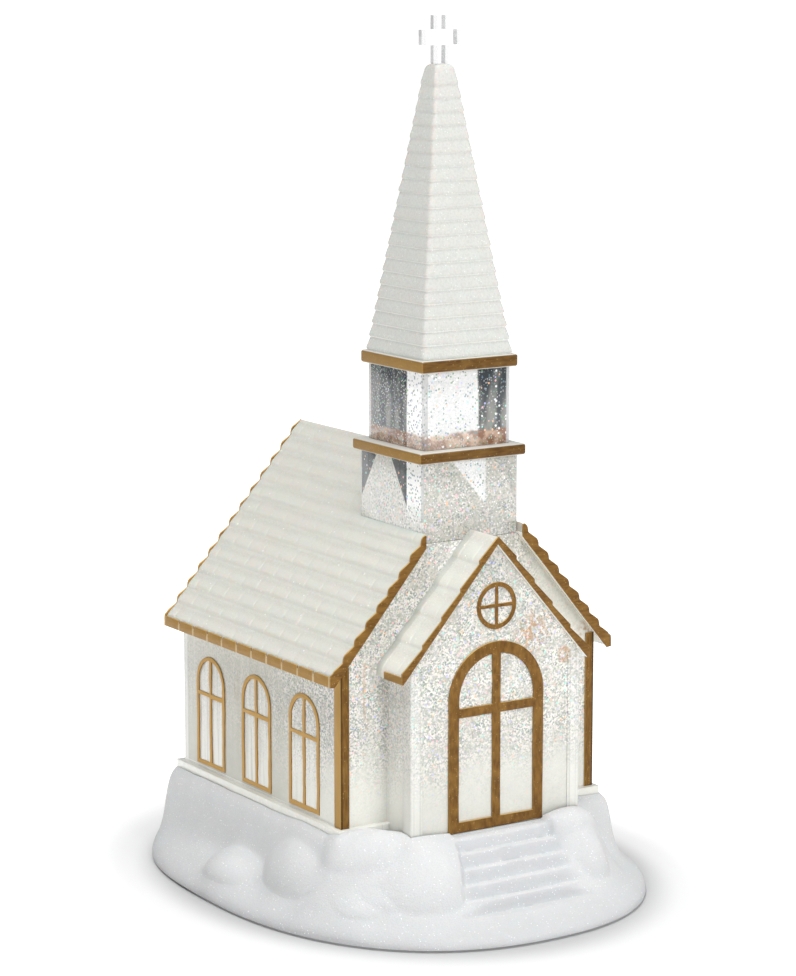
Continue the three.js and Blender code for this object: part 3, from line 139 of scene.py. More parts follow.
class Wire:
    """One output of a node; signs between wires and numbers add Math nodes."""

    def __init__(self, finish, socket):
        self.finish, self.socket = finish, socket

    def also(self, output):
        return Wire(self.finish, self.socket.node.outputs[output])

    __add__ = __radd__ = sign("ADD")
    __mul__ = __rmul__ = sign("MULTIPLY")
    __sub__, __rsub__ = sign("SUBTRACT"), sign("SUBTRACT", swapped=True)
    __truediv__, __pow__ = sign("DIVIDE"), sign("POWER")
    __lt__, __gt__ = sign("LESS_THAN"), sign("GREATER_THAN")
    __or__, __and__, __abs__ = sign("MAXIMUM"), sign("MINIMUM"), sign("ABSOLUTE")


class Finish:
    """A material with one Principled shader, and a short way to add nodes to it."""

    def __init__(self, name, **fixed):
        self.material = bpy.data.materials.new(name)
        self.material.use_nodes = True
        self.tree = self.material.node_tree
        self.shader = self.tree.nodes["Principled BSDF"]
        self.set(**fixed)
        place = self.node("TexCoord", output="Object")
        self.mm = self.node("VectorMath", {"operation": "SCALE"}, {0: place, "Scale": 1 / MM})
        self.x = self.node("SeparateXYZ", {}, {0: self.mm})
        self.y, self.z = self.x.also(1), self.x.also(2)

    def set(self, **values):
        for name, value in values.items():
            self.fill(self.shader.inputs[name.replace("_", " ")], value)

    def fill(self, socket, value):
        if isinstance(value, Wire):
            self.tree.links.new(value.socket, socket)
        elif isinstance(value, tuple) and socket.type == "RGBA" and len(value) == 3:
            socket.default_value = (*value, 1)
        else:
            socket.default_value = value

    def node(self, kind, settings=None, values=None, output=0):
        made = self.tree.nodes.new("ShaderNode" + kind)
        for key, value in (settings or {}).items():
            setattr(made, key, value)
        for key, value in (values or {}).items():
            self.fill(made.inputs[key], value)
        return Wire(self, made.outputs[output])

    def maths(self, operation, *values):
        return self.node("Math", {"operation": operation}, dict(enumerate(values)))

    def mix(self, mask, first, second):
        values = {0: mask, 6: first, 7: second}
        return self.node("Mix", {"data_type": "RGBA"}, values, output=2)

    def coats(self, base, *layers):
        """Thin coats over a base colour; each layer is a mask and a colour."""
        for mask, colour in layers:
            base = self.mix(mask, base, colour)
        return base

    def ramp(self, value, low, high):
        """0 below low, 1 above high, smooth between; low may be the larger."""
        settings = {"interpolation_type": "SMOOTHSTEP"}
        if low < high:
            return self.node("MapRange", settings, {0: value, 1: low, 2: high})
        return 1 - self.node("MapRange", settings, {0: value, 1: high, 2: low})

    def noise(self, size, detail=2, stretch=None):
        """Soft cloudy noise whose patches are about size millimetres across."""
        place = self.mm
        if stretch:
            place = self.node("VectorMath", {"operation": "MULTIPLY"}, {0: place, 1: stretch})
        return self.node("TexNoise", {}, {"Vector": place, "Scale": 1 / size, "Detail": detail})

    def spot(self, place, reach):
        """1 at a place in millimetres, falling to 0 at that reach."""
        values = {0: self.mm, 1: place}
        off = self.node("VectorMath", {"operation": "DISTANCE"}, values, output="Value")
        return self.ramp(off, reach, reach * 0.3)

    def specks(self, size, share, radius=0.3):
        """A mask of small dots, in that share of the cells, and each cell's own colour."""
        cell = self.node("TexVoronoi", {}, {"Vector": self.mm, "Scale": 1 / size})
        colour = cell.also("Color")
        pick = self.node("SeparateColor", {}, {0: colour})
        return (cell < radius) * (pick < share), colour

    def bump(self, height, strength, distance_mm):
        values = {"Height": height, "Strength": strength, "Distance": distance_mm * MM}
        self.set(Normal=self.node("Bump", {}, values, output="Normal"))

    def shine(self, share, colour):
        """Light given off: that share of the colour."""
        self.set(Emission_Color=self.mix(share, BLACK, colour), Emission_Strength=1)

    def normal(self):
        """The surface's direction in the object's own frame: x, and y and z with also."""
        facing = self.node("NewGeometry", {}, {}, output="Normal")
        return self.node("SeparateXYZ", {}, {0: facing})


WHITE, BLACK = (1, 1, 1), (0, 0, 0)
print("a finish can be made")

# %% [markdown]
# ## Snow
#
# The base is moulded resin, sprayed matt white and dusted with fine sparkle. Up close it is a
# grainy skin with tiny bright points, and the broad shade stays soft. Two sizes of noise make
# the grain, and two layers of dots the sparkle. The risers of the steps and the snow near the
# rim are painted a little greyer: painted shade.

# %% Snow finish
FLIGHT_FRONT, FLIGHT_BACK = -91, -71


def snow_finish():
    snow = Finish("snow_spray", Roughness=0.78, Subsurface_Weight=0.12, Subsurface_Scale=0.004)
    grain = snow.noise(0.55, 2)
    on_flight = (snow.y < FLIGHT_BACK) * (snow.y > FLIGHT_FRONT)
    on_flight = snow.ramp(abs(snow.x), 28, 20) * on_flight
    # Painted shade: the risers of the steps, and below, the snow near the rim, are made greyer.
    riser = snow.ramp(snow.normal().also(2), 0.88, 0.55) * on_flight
    fine, _ = snow.specks(0.8, 0.14, 0.27)
    large, _ = snow.specks(2.4, 0.05, 0.13)
    sparkle = fine | large
    base = snow.coats(
        snow.mix(snow.noise(9, 3), (0.6, 0.605, 0.605), (0.67, 0.675, 0.675)),
        (snow.ramp(grain, 0.62, 0.38) * 0.3, (0.52, 0.53, 0.54)),
        (riser * 0.42, (0.46, 0.475, 0.5)),
        (snow.ramp(snow.z, 15, 3) * 0.3, (0.44, 0.45, 0.46)),
        (sparkle * 0.6, WHITE))
    snow.set(Base_Color=base, Roughness=0.78 - sparkle * 0.45)
    snow.bump(grain + snow.noise(2.2, 2) * 0.7, 0.35, 0.5)
    return snow.material


print("snow finish is defined")

# %% [markdown]
# ## Frosted acrylic
#
# The roofs and the spire are the same clear plastic, frosted from outside and dusted like the
# base. Light goes some way in, so they look like sugar. Their undersides are painted paler and
# given a faint glow, and the porch roof a faint glow too: painted light. A fine grain carries
# the frost. Each row of shingles is painted a little paler in its middle: painted light on the
# rounded rows.

# %% Frosted finish
def frosted_finish(name, shade, half=0, run=1):
    """Frost of one shade; half and run are a roof's half width and the width of its rows."""
    frost = Finish(name, Roughness=0.6, Subsurface_Weight=0.25, Subsurface_Scale=0.006)
    grain = frost.noise(0.8, 3)
    pale = tuple(min(1, s * 1.09) for s in shade)
    deep = tuple(s * 0.86 for s in shade)
    base = frost.mix(frost.noise(14, 3, (1, 0.4, 1)), shade, pale)
    base = frost.mix(frost.ramp(grain, 0.58, 0.36) * 0.45, base, deep)
    if half:
        # Painted light on the rounded rows: each row is paler in its middle.
        sway = frost.noise(9, 2, (1, 0.5, 1)) * 0.5
        row = frost.maths("FRACT", (half - abs(frost.x)) / run + sway)
        middle = frost.ramp(abs(row - 0.5), 0.5, 0.12)
        base = frost.coats(base, (0.14, (0.36, 0.35, 0.3)), (middle * 0.6, pale))
    fine, _ = frost.specks(0.9, 0.16, 0.26)
    large, _ = frost.specks(2.6, 0.13, 0.13)
    dark, _ = frost.specks(1.3, 0.07, 0.24)
    on_roof = frost.z < 180
    # Painted light: undersides are made paler, as if lit through the frost.
    underside = frost.ramp(frost.normal().also(2) * -1, 0.2, 0.5) * (0.35 + on_roof * 0.65)
    base = frost.coats(
        base,
        (dark * 0.3, (0.52, 0.52, 0.49)),
        (underside, (0.86, 0.86, 0.8)),
        (fine * 0.45 | large * on_roof * 0.6, (1, 1, 0.98)))
    on_porch = frost.ramp(frost.y, ROOF_FRONT - 0.075, ROOF_FRONT - 1.075) * (frost.z < 150)
    frost.set(Base_Color=base, Roughness=0.6 - fine * 0.35)
    # Painted light: a faint glow on the undersides and on the porch roof.
    frost.shine(underside * 0.28 | on_porch * 0.15, base)
    frost.bump(grain + frost.noise(2.6, 2) * 0.5, 0.4, 0.45)
    return frost.material


print("frosted finish is defined")

# %% [markdown]
# ## Gold paint
#
# The trims are painted by hand in antique gold: a bronze paint with brush streaks, thinner and
# lighter where the brush left an edge. Faces that look left, towards the light, and faces that
# look up are painted a lighter gold: painted light. The same paint is used on all trims, so one
# function makes it, with the streaks' direction and a few extras: bare tops on the bands, a dark
# groove in the corner strips, and paler joints along the eaves. Its shade argument makes brighter
# and darker copies of the paint: painted light and shade for the light that falls on each trim.

# %% Gold finish
BRONZE = ((0.12, 0.053, 0.01), (0.24, 0.12, 0.024), (0.3, 0.165, 0.042))
ACROSS, UPWARDS = (0.35, 0.35, 2.2), (2.2, 2.2, 0.35)


def gold_finish(name, stretch, painted_left_light=0.35, shade=1, bare_top=False, groove_at=None,
                joints=None):
    gold = Finish(name, Metallic=0.3, Roughness=0.42, Specular_IOR_Level=0.2)
    streaks = gold.noise(1.6, 3, stretch)
    patches = gold.noise(6, 2)
    sideways = gold.normal()
    upward = sideways.also(2)
    flecks, _ = gold.specks(0.8, 0.16, 0.3)
    # shade scales the paint: above 1 a brighter copy, painted light; below 1 a darker copy, painted
    # shade.
    deep, light, pale = [tuple(shade * part for part in tone) for tone in BRONZE]
    # Painted light: faces that look left get a lighter gold.
    base = gold.coats(
        gold.mix(gold.ramp(streaks, 0.22, 0.78), deep, light),
        (gold.ramp(patches, 0.45, 0.75) * 0.5, pale),
        (gold.ramp(sideways * -1, 0.2, 0.8) * painted_left_light, (0.5, 0.3, 0.085)),
        (flecks * 0.35, (0.55, 0.37, 0.14)))
    if bare_top:
        base = gold.mix(gold.ramp(abs(upward), 0.45, 0.75), base, (0.66, 0.65, 0.6))
    else:
        # Painted highlight: faces that look up get a lighter gold.
        base = gold.mix(gold.ramp(upward, 0.3, 0.75) * 0.8, base, (0.62, 0.42, 0.15))
    # The joints along the eaves are paler.
    if joints:
        start, pitch = joints
        place = gold.maths("FRACT", (gold.y - start) / pitch + 0.5)
        joint = gold.ramp(abs(place - 0.5) * pitch + patches * 0.8, 1.3, 0.6)
        base = gold.mix(joint * 0.7, base, (0.66, 0.54, 0.33))
    if groove_at:
        groove = gold.ramp(abs(abs(gold.x) - groove_at), 0.55, 0.25) * (abs(sideways) < 0.7)
        base = gold.mix(groove * 0.75, base, (0.045, 0.025, 0.008))
    gold.set(Base_Color=base, Roughness=0.36 + patches * 0.2)
    gold.bump(streaks + gold.noise(0.5) * 0.4, 0.3, 0.15)
    return gold.material


print("gold finish is defined")

# %% [markdown]
# ## Clear acrylic, water and glitter
#
# The walls are clear and full of water, and bent light makes the water seem to reach right up to
# their outer faces. True refraction would be slow and dark, so the water's look is drawn on the
# walls themselves. Each part of it is a mask made from the place on the wall. First come the
# patches where the light bends: grey and white wedges under the lower band, dark and bright
# panes in the belfry, clear corners, and the fine upright lines at the porch's corners.

# %% Masks of bent light
WEDGE_TALL, TOWER_SHOWN = 18, 52
TOWER_REACH = TOWER_HALF + 0.1


def wedge(water, along, reach):
    """A wedge under the lower band: as wide as reach at the top, and nothing 18 mm lower."""
    share = ((water.z - (LOWER_BAND_Z - WEDGE_TALL)) / WEDGE_TALL | 0) & 1
    return water.ramp(share * reach - along, -0.3, 0.5) * (along > 0) * (share > 0)


def light_paths(water):
    """Dark and bright patches of the belfry and the tower, their corners, the belfry's room."""
    flank, depth = water.flank, water.y - TOWER_Y
    along = flank * depth + (1 - flank) * water.x
    sway = water.noise(5, 2, (1, 1, 0.2)) * 2 - 1
    in_belfry = (water.z > BELFRY_Z) * (water.z < BELFRY_Z + BELFRY_TALL)
    in_tower = (water.z > LOWER_BAND_Z - TOWER_SHOWN) * (water.z < LOWER_BAND_Z)
    in_tower = in_tower * (abs(water.x) < TOWER_REACH)
    belfry_dark = water.ramp(along + sway + 12.3 * flank - 4.7, -0.5, 0.5)
    edge = TOWER_HALF - 1
    left_wedges = wedge(water, edge - depth, 11) | wedge(water, depth + 11, 11)
    right_wedge = wedge(water, edge - water.x, 9) * 0.35
    tower_dark = left_wedges * flank + right_wedge * (1 - flank)
    bright_left = (depth < -11) * water.ramp(water.z, 144, 160)
    bright_front = wedge(water, 7 - water.x, 15.5)
    tower_bright = bright_left * flank + bright_front * (1 - flank)
    half = TOWER_HALF - in_belfry * (TOWER_HALF - BELFRY_HALF)
    corner = water.ramp(abs(along) - half + in_belfry * 0.9, -1, -0.6) * (water.z > 152)
    corner = corner * (in_belfry | in_tower)
    dark = belfry_dark * in_belfry + tower_dark * in_tower
    bright = (1 - belfry_dark) * in_belfry + tower_bright * in_tower
    return dark, bright, corner, in_belfry


def corner_posts(water):
    """Milky posts at the porch's and the nave's corners, and fine upright lines beside them."""
    on_porch = (water.y < NAVE_FRONT - 2) * (water.z < 100)
    from_corner = abs(abs(water.x) - PORCH_HALF)
    line = water.ramp(abs(from_corner - 3.4), 0.45, 0.15)
    line = line + water.ramp(abs(from_corner - 0.6), 0.45, 0.15) * 0.6
    post = water.ramp(abs(water.y - NAVE_BACK), 3.4, 2.6)
    post = post + water.ramp(from_corner, 3.4, 2.8) * on_porch * 0.45
    return post & 1, line * on_porch


class Water(Finish):
    """The finish of the water, with the masks that its coats share."""

    def __init__(self, name):
        super().__init__(name, Roughness=0.16)
        self.swirl = self.noise(15, 3, (1, 1, 0.7))
        self.cloud = self.noise(5, 2)
        self.flank = abs(self.normal()) > 0.7
        self.low = self.ramp(self.z + self.swirl * 30, 92, 60)
        self.front = self.ramp(self.y + self.swirl * 24, 34, -30)
        self.dark, self.bright, self.corner, self.in_belfry = light_paths(self)
        self.post, self.post_line = corner_posts(self)
        # Painted light: a paler patch with fewer flakes high on the porch's right side, under the
        # verges.
        pale_below_verge = (self.y > PORCH_FRONT + 3) * (self.y < NAVE_FRONT + 3)
        pale_below_verge = pale_below_verge * self.ramp(self.x, 20, 34)
        self.under_verge = pale_below_verge * self.ramp(self.z, 84, 96)


print("masks of bent light are defined")

# %% [markdown]
# ## Milk and silver
#
# With the lamps off the water is milky at the foot, where fine flakes have settled, and silver
# grey above; the milky foot also has a faint painted glow. Upright light and dark streaks are
# painted, where ripples in the moulded wall bend the light. The side walls carry painted shade,
# darker towards the back, and a patch under the verges painted light. Behind the windows the milk
# is paler. Over this lie the grey and white patches, and a painted copper reflection at the
# belfry's foot, where the gold of the lower band is mirrored in the floor.

# %% Body of the water
def window_panes(water):
    """A mask of the three arched windows' glass, on both side walls."""
    panes = 0
    for k in (-1, 0, 1):
        beside, above = water.y - (WINDOW_Y + k * WINDOW_PITCH), water.z - WINDOW_SPRING | 0
        within = water.maths("SQRT", beside * beside + above * above)
        panes = water.ramp(within, 10.2, 9.2) * (water.z > 41) + panes
    return panes & 1


def water_body(water):
    low, swirl, cloud = water.low, water.swirl, water.cloud
    upright = water.noise(2.4, 2, (1, 1, 0.06))
    traces = water.ramp(water.noise(3, 2, (1, 1, 0.13)), 0.66, 0.76)
    on_side = (abs(water.x) > NAVE_HALF - 2) * water.flank * (water.z > 39)
    to_front = water.ramp(water.y + swirl * 16, 30, -36)
    milk = water.mix(cloud, (0.64, 0.64, 0.58), (0.745, 0.74, 0.68))
    shaded = water.mix(cloud, (0.43, 0.42, 0.36), (0.52, 0.51, 0.45))
    side_milk = water.mix(to_front, shaded, (0.74, 0.735, 0.68))
    in_pane = window_panes(water) * on_side * (0.35 + water.ramp(upright, 0.36, 0.56) * 0.4)
    # Painted light and shade: upright light and dark streaks, the side walls' shade towards the
    # back, and the pale patch under the verges.
    return water.coats(
        water.mix(swirl, (0.49, 0.475, 0.4), (0.66, 0.645, 0.56)),
        (water.front * 0.8, water.mix(swirl, (0.48, 0.465, 0.4), (0.76, 0.74, 0.67))),
        (water.ramp(upright, 0.52, 0.68) * 0.35, (0.8, 0.8, 0.775)),
        (water.ramp(upright, 0.46, 0.34) * 0.22, (0.34, 0.34, 0.31)),
        (traces * (1 - low * 0.7) * 0.4, (0.42, 0.23, 0.09)),
        (low, water.mix(on_side, milk, side_milk)),
        (on_side * (1 - to_front) * 0.45 * (1 - low), (0.4, 0.38, 0.31)),
        (in_pane, (0.82, 0.81, 0.755)),
        (water.under_verge * 0.85, (0.74, 0.735, 0.66)))


def bent_light(water, body):
    """The painted grey and white patches over the water, the belfry's copper foot, a painted
    reflection of the gold, and its copper rear post.
    """
    streaks = water.ramp(water.noise(4, 2, (1, 1, 0.25)), 0.35, 0.65)
    depth = water.ramp(water.z, BELFRY_Z + 28, BELFRY_Z + 6) * water.in_belfry
    pale_gloom = water.mix(depth, (0.12, 0.125, 0.125), (0.27, 0.265, 0.24))
    # Painted reflection: the lower band's gold, mirrored at the belfry's foot.
    foot = water.ramp(water.z + water.cloud * 2.5, BELFRY_Z + 7.6, BELFRY_Z + 6.4)
    mirrored_gold = water.mix(water.ramp(water.cloud, 0.4, 0.6), (0.26, 0.1, 0.035), (0.57, 0.37, 0.25))
    rear = water.ramp(water.y - TOWER_Y, BELFRY_HALF - 2.4, BELFRY_HALF - 1.6) * water.flank
    return water.coats(
        body,
        (water.bright, water.mix(water.flank, (0.72, 0.72, 0.715), WHITE)),
        (water.dark, water.mix(streaks, (0.034, 0.042, 0.048), pale_gloom)),
        (foot * water.in_belfry * 0.85, mirrored_gold),
        (rear * water.in_belfry * 0.7, (0.46, 0.29, 0.2)))


print("body of the water is defined")

# %% [markdown]
# ## Glitter
#
# The flakes are cut foil a millimetre or less across: most look silver or grey, and a few catch
# the light in a colour. They gather in clouds, thick at the front and thin near the foot. A
# mosaic of small cells makes the silver, and three sizes of dots the single flakes. Painted
# reflections of the gable's gold, where it shines through, are copper noise inside a few round
# spots and lines. The tower's front gets painted shade, and its left side painted light.

# %% Glitter in the water
# Painted reflections of the gold: spots as centre and reach, and upright lines as x, y, foot and
# top.
GOLD_REFLECTION_SPOTS = (((17, PORCH_FRONT, 108), 11), ((57, NAVE_FRONT, 100), 8),
          ((32, PORCH_FRONT, 98), 5))
GOLD_REFLECTION_LINES = ((51, NAVE_FRONT, 70, 91), (-40, PORCH_FRONT, 60, 90),
                  (-47.8, NAVE_FRONT, 76, 101))


def painted_gold_reflections(water, body):
    """Painted reflections of the gold: copper spots on the gable, and upright lines on the front
    walls.
    """
    brown = sum(water.spot(place, reach) for place, reach in GOLD_REFLECTION_SPOTS)
    brown = brown * water.ramp(water.noise(2.2, 3), 0.44, 0.58)
    body = water.mix(brown * 0.75 & 0.75, body, (0.46, 0.24, 0.09))
    for line_x, line_y, foot_z, top_z in GOLD_REFLECTION_LINES:
        sway = (water.noise(6) - 0.5) * 2
        line = water.ramp(abs(water.x - line_x + sway), 0.8, 0.3) * (abs(water.y - line_y) < 4)
        line = line * water.ramp(water.z, foot_z, foot_z + 8) * (water.z < top_z)
        body = water.mix(line * 0.5, body, (0.5, 0.29, 0.13))
    return body


def tower_light_and_shade(water, body):
    """The tower's front gets painted shade, a little darker than the walls, and its left side
    painted light.
    """
    below_band = water.z < LOWER_BAND_Z
    on_front = water.ramp(water.z, 118, 140) * below_band * (abs(water.x) < TOWER_REACH)
    on_front = on_front * (1 - water.bright) * (abs(water.normal()) < 0.5)
    on_left = water.ramp(water.z, 118, 130) * below_band * (1 - water.dark)
    on_left = on_left * (water.normal() < -0.7)
    body = water.mix(on_front * 0.38, body, (0.36, 0.35, 0.31))
    return water.mix(on_left * 0.35, body, (0.8, 0.8, 0.76))


def water_look(name):
    water = Water(name)
    body = bent_light(water, water_body(water))
    clusters = water.ramp(water.noise(7, 3), 0.34, 0.6)
    rear = (water.y > NAVE_BACK - 2) * 0.35
    amount = (1 - water.low * 0.92) * (0.2 + water.front * 0.6 + rear)
    amount = amount * (1 - water.under_verge * 0.8)
    flake = water.node("TexVoronoi", {}, {"Vector": water.mm, "Scale": 1.6}, output="Color")
    parts = water.node("SeparateColor", {}, {0: flake})
    shine = water.ramp(parts + clusters * 0.14, 0.15, 0.95)
    silver = water.mix(shine, (0.23, 0.22, 0.195), (0.98, 0.955, 0.9))
    mosaic = amount * (0.4 + clusters * 0.45) * (1 - water.dark) * (1 - water.bright * 0.7)
    body = water.mix(mosaic, body, water.mix(0.16, silver, flake))
    body = tower_light_and_shade(water, painted_gold_reflections(water, body))
    fine, shade = water.specks(0.9, 0.46, 0.34)
    dark, deep = water.specks(1.1, 0.36, 0.38)
    coarse, hue = water.specks(1.6, 0.34, 0.29)
    tints = water.node("SeparateColor", {}, {0: hue})
    warm = water.mix(tints.also(2) > 0.5, (1, 0.55, 0.32), (1, 0.55, 0.62))
    cold = water.mix(tints.also(2) > 0.55, (0.36, 0.86, 0.74), (0.58, 0.56, 1))
    tint = water.mix(tints.also(1) > 0.45, cold, warm)
    glint = water.node("SeparateColor", {}, {0: shade}).also(1)
    dark_share = amount * (0.35 + clusters * 0.45) | (water.in_belfry | water.bright) * 0.8
    fine_share = amount * 0.8 * (1 - water.dark * 0.75) + 0.05
    fine_share = fine_share + water.dark * (0.1 + clusters * 0.7) * 0.5
    body = water.coats(
        body,
        (dark * dark_share, water.mix(0.25, (0.16, 0.16, 0.17), deep)),
        (fine * fine_share, water.mix(glint, (0.45, 0.45, 0.45), WHITE)),
        (coarse * (amount * 0.85 + 0.15), water.mix(tints.also(1) > 0.8, tint, WHITE)),
        (water.post * 0.7, (0.76, 0.76, 0.725)),
        (water.post_line * 0.4, (0.5, 0.5, 0.465)),
        (water.corner * (1 - water.bright * 0.75) * 0.75, (0.78, 0.785, 0.79)))
    water.set(Base_Color=body)
    # Painted light: the bright patches and the milky foot glow a little.
    water.shine(water.bright * 0.06 + water.low * 0.08, body)
    return water


def shell_finish():
    shell = water_look("water_behind_acrylic")
    shell.set(Coat_Weight=0.5, Coat_Roughness=0.04, Alpha=0.97 - shell.corner * 0.35)
    return shell.material


def clear_finish(name, alpha):
    clear = Finish(name, Roughness=0.07, Alpha=alpha, Coat_Weight=0.4, Coat_Roughness=0.03)
    haze = clear.noise(18, 2, (1, 1, 0.35))
    clear.set(Base_Color=clear.mix(haze, (0.93, 0.95, 0.93), (1, 1, 0.99)))
    clear.set(Roughness=0.05 + haze * 0.08, Alpha=alpha * 0.7 + haze * (0.6 * alpha))
    return clear.material


print("water and clear finishes are defined")

# %% [markdown]
# ## Pieces from points, and softened copies
#
# A new piece is a list of points in millimetres and a list of faces. It gets its material, rides
# on its body and hides the CAD node that it stands for. Moulded edges are never razor sharp, so a
# second helper copies a CAD node, joins its triangles into flat faces and rounds its sharp edges.

# %% Make a piece and soften a node
MERGE_WITHIN, FLAT_BELOW, ROUNDED_ABOVE = 1e-6, math.radians(0.5), math.radians(25)


def new_mesh(name, points, faces):
    """A mesh from points in millimetres and lists of their numbers."""
    mesh = bpy.data.meshes.new(name)
    mesh.from_pydata((np.asarray(points, float) * MM).tolist(), [], faces)
    return mesh


def settle(piece, material, body, replaces, slot, sharp=50):
    """Smooth shading with crisp edges over the sharp angle, then the piece's place in the frame."""
    shape = bmesh.new()
    shape.from_mesh(piece.data)
    for face in shape.faces:
        face.smooth = True
    for edge in shape.edges:
        edge.smooth = edge.calc_face_angle(0) < math.radians(sharp)
    shape.to_mesh(piece.data)
    shape.free()
    piece.data.materials.clear()
    piece.data.materials.append(material)
    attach(piece, body)
    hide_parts(*replaces)
    return piece


def add_piece(name, points, faces, material, replaces, slot, sharp=50):
    piece = new_object(name, new_mesh(name, points, faces))
    return settle(piece, material, "chapel", replaces, slot, sharp)


def softened(node, material, bevel, slot=None, segments=2):
    """A copy of a CAD node whose edges are rounded over that many millimetres."""
    shape = bmesh.new()
    shape.from_mesh(frame["nodes"][node].data)
    bmesh.ops.remove_doubles(shape, verts=shape.verts, dist=MERGE_WITHIN)
    bmesh.ops.dissolve_limit(shape, angle_limit=FLAT_BELOW, verts=shape.verts, edges=shape.edges)
    edges = [edge for edge in shape.edges if edge.calc_face_angle(0) > ROUNDED_ABOVE]
    bmesh.ops.bevel(shape, geom=edges, offset=bevel * MM, segments=segments, profile=0.5,
                    affect="EDGES", clamp_overlap=True)
    mesh = bpy.data.meshes.new(node + "_moulded")
    shape.to_mesh(mesh)
    shape.free()
    piece = new_object(mesh.name, mesh)
    return settle(piece, material, frame["nodes"][node]["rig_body"], (node,), slot)


def loop_solid(rows, closed=False):
    """Faces over rows of points that each run round a loop; the two ends are capped, or join."""
    index = np.arange(len(rows) * len(rows[0])).reshape(len(rows), -1)
    if closed:
        index = np.vstack([index, index[:1]])
    following = np.roll(index, -1, axis=1)
    quads = [index[:-1], following[:-1], following[1:], index[1:]]
    faces = np.stack(quads, axis=-1).reshape(-1, 4).tolist()
    if not closed:
        faces += [index[0][::-1].tolist(), index[-1].tolist()]
    return np.concatenate(rows), faces


print("helpers for pieces are defined")

# %% [markdown]
# ## The snow base
#
# The real base was sculpted by hand: banks that fall steeply beside the chapel, lumps of snow at
# the front left, and five worn steps up to the door. It could be sculpted in Blender too, but a
# height formula gives the same base each time. It is the formula of the CAD model, sampled far
# finer, with four of the lumps moved a little to fit the photograph. Rays leave the centre, and
# on each ray a closed profile runs over the deck, down the banks, round the rim and back through
# the hollow for the works.

# %% Height of the snow
# Each mound: x, y, turn in degrees, half sizes across and along, heights of its foot and its top.
MOUNDS = [
    (-71, 7, 0, 12, 17, 6, 17.5), (-61, -30, 0, 14, 25, 8, 31.5), (-51, -56, -33, 17, 10, 24, 38),
    (-51, -58, -33, 18, 17, 6, 18), (-41, -64, -33, 22, 17, 7, 25),
    (-33, -67, -20, 22, 20, 7, 32.5), (31, -71, 0, 13, 5.5, 28, 36.6),
    (34, -72, 20, 11, 14, 10, 31), (68, 20, 0, 14, 20, 7, 23), (58, -40, 20, 15, 16, 7, 29),
    (-20, 80, 0, 22, 14, 7, 23), (28, 82, 0, 18, 12, 7, 27),
]
MOUND_BLEND, MOUND_FALL, FOOT_BLEND = 3.2, 30, 4
FRONT_POWER, REAR_POWER = 2.3, 2.8
NAVE_PAD = (NAVE_HALF + PLINTH_OUT, NAVE_FRONT - PLINTH_OUT, NAVE_BACK + PLINTH_OUT)
PORCH_PAD = (PORCH_HALF + 0.8, PORCH_FRONT - DOOR_PROUD, NAVE_FRONT - PLINTH_OUT)


def smooth(value, low, high):
    share = np.clip((value - low) / (high - low), 0, 1)
    return share * share * (3 - 2 * share)


def outline_radius(cos, sin, inset=0):
    """Distance from the centre to the rim: an ellipse with fuller corners, most so at the rear."""
    power = np.where(sin < 0, FRONT_POWER, REAR_POWER)
    across, along = np.abs(cos / (HALF_WIDTH - inset)), np.abs(sin / (HALF_DEPTH - inset))
    return (across ** power + along ** power) ** (-1 / power)


def foot_distance(x, y):
    """Distance from the foot of the walls, with the inner corners rounded."""
    def outside(pad):
        dx = np.maximum(np.abs(x) - pad[0], 0)
        dy = np.maximum(np.maximum(pad[1] - y, y - pad[2]), 0)
        return np.hypot(dx, dy)
    soft = np.exp(-outside(NAVE_PAD) / FOOT_BLEND) + np.exp(-outside(PORCH_PAD) / FOOT_BLEND)
    return np.maximum(-FOOT_BLEND * np.log(soft), 0)


def bank_height(x, y):
    """Banks that fall as a cliff at the sides and as an even slope at the front."""
    radius = np.hypot(x, y) + 1e-9
    cos, sin = x / radius, y / radius
    distance = foot_distance(x, y)
    edge = np.maximum(outline_radius(cos, sin) - radius, 0)
    u = distance / (distance + edge + 1e-6)
    cliff = (1 - u ** 4) / (1 + (distance / 5.1) ** 5.5)
    slope = 1 - smooth(u, 0, 0.8)
    frontal = smooth(-sin, 0.6, 0.92)
    rim = RIM_RISE * np.sqrt(np.maximum(1 - u ** 6, 0))
    skirt = SKIRT_RISE * np.maximum(1 - u, 0) ** 1.6
    rest = DECK_Z + SNOW_SINK - RIM_Z - RIM_RISE - SKIRT_RISE
    return RIM_Z + rim + skirt + rest * (cliff + (slope - cliff) * frontal)


def snow_height(x, y):
    """The banks with the mounds laid on; each mound is a half ellipsoid that melts into them."""
    height = bank_height(x, y)
    for mound_x, mound_y, turned, across, along, foot, top in MOUNDS:
        angle = math.radians(turned)
        dx, dy = x - mound_x, y - mound_y
        a = (dx * math.cos(angle) + dy * math.sin(angle)) / across
        b = (dy * math.cos(angle) - dx * math.sin(angle)) / along
        reach = np.hypot(a, b)
        dome = foot + (top - foot) * np.sqrt(np.maximum(1 - reach ** 2, 0))
        level = dome - MOUND_FALL * np.maximum(reach - 1, 0)
        melt = MOUND_BLEND * np.log1p(np.exp(-np.abs(height - level) / MOUND_BLEND))
        height = np.maximum(height, level) + melt
    return height


print("mounds of snow:", len(MOUNDS))

# %% The steps in the snow
STEP_FRONT, STEP_TREAD, STEP_COUNT = -72, 4.2, 5
LANDING_Z, STEP_RISE = 33.9, 4.98
STEP_END = STEP_FRONT - STEP_TREAD * (STEP_COUNT - 1)
FLIGHT_HALF, FLIGHT_SPREAD, FLIGHT_RUN_OUT = 21, 9, 9.5


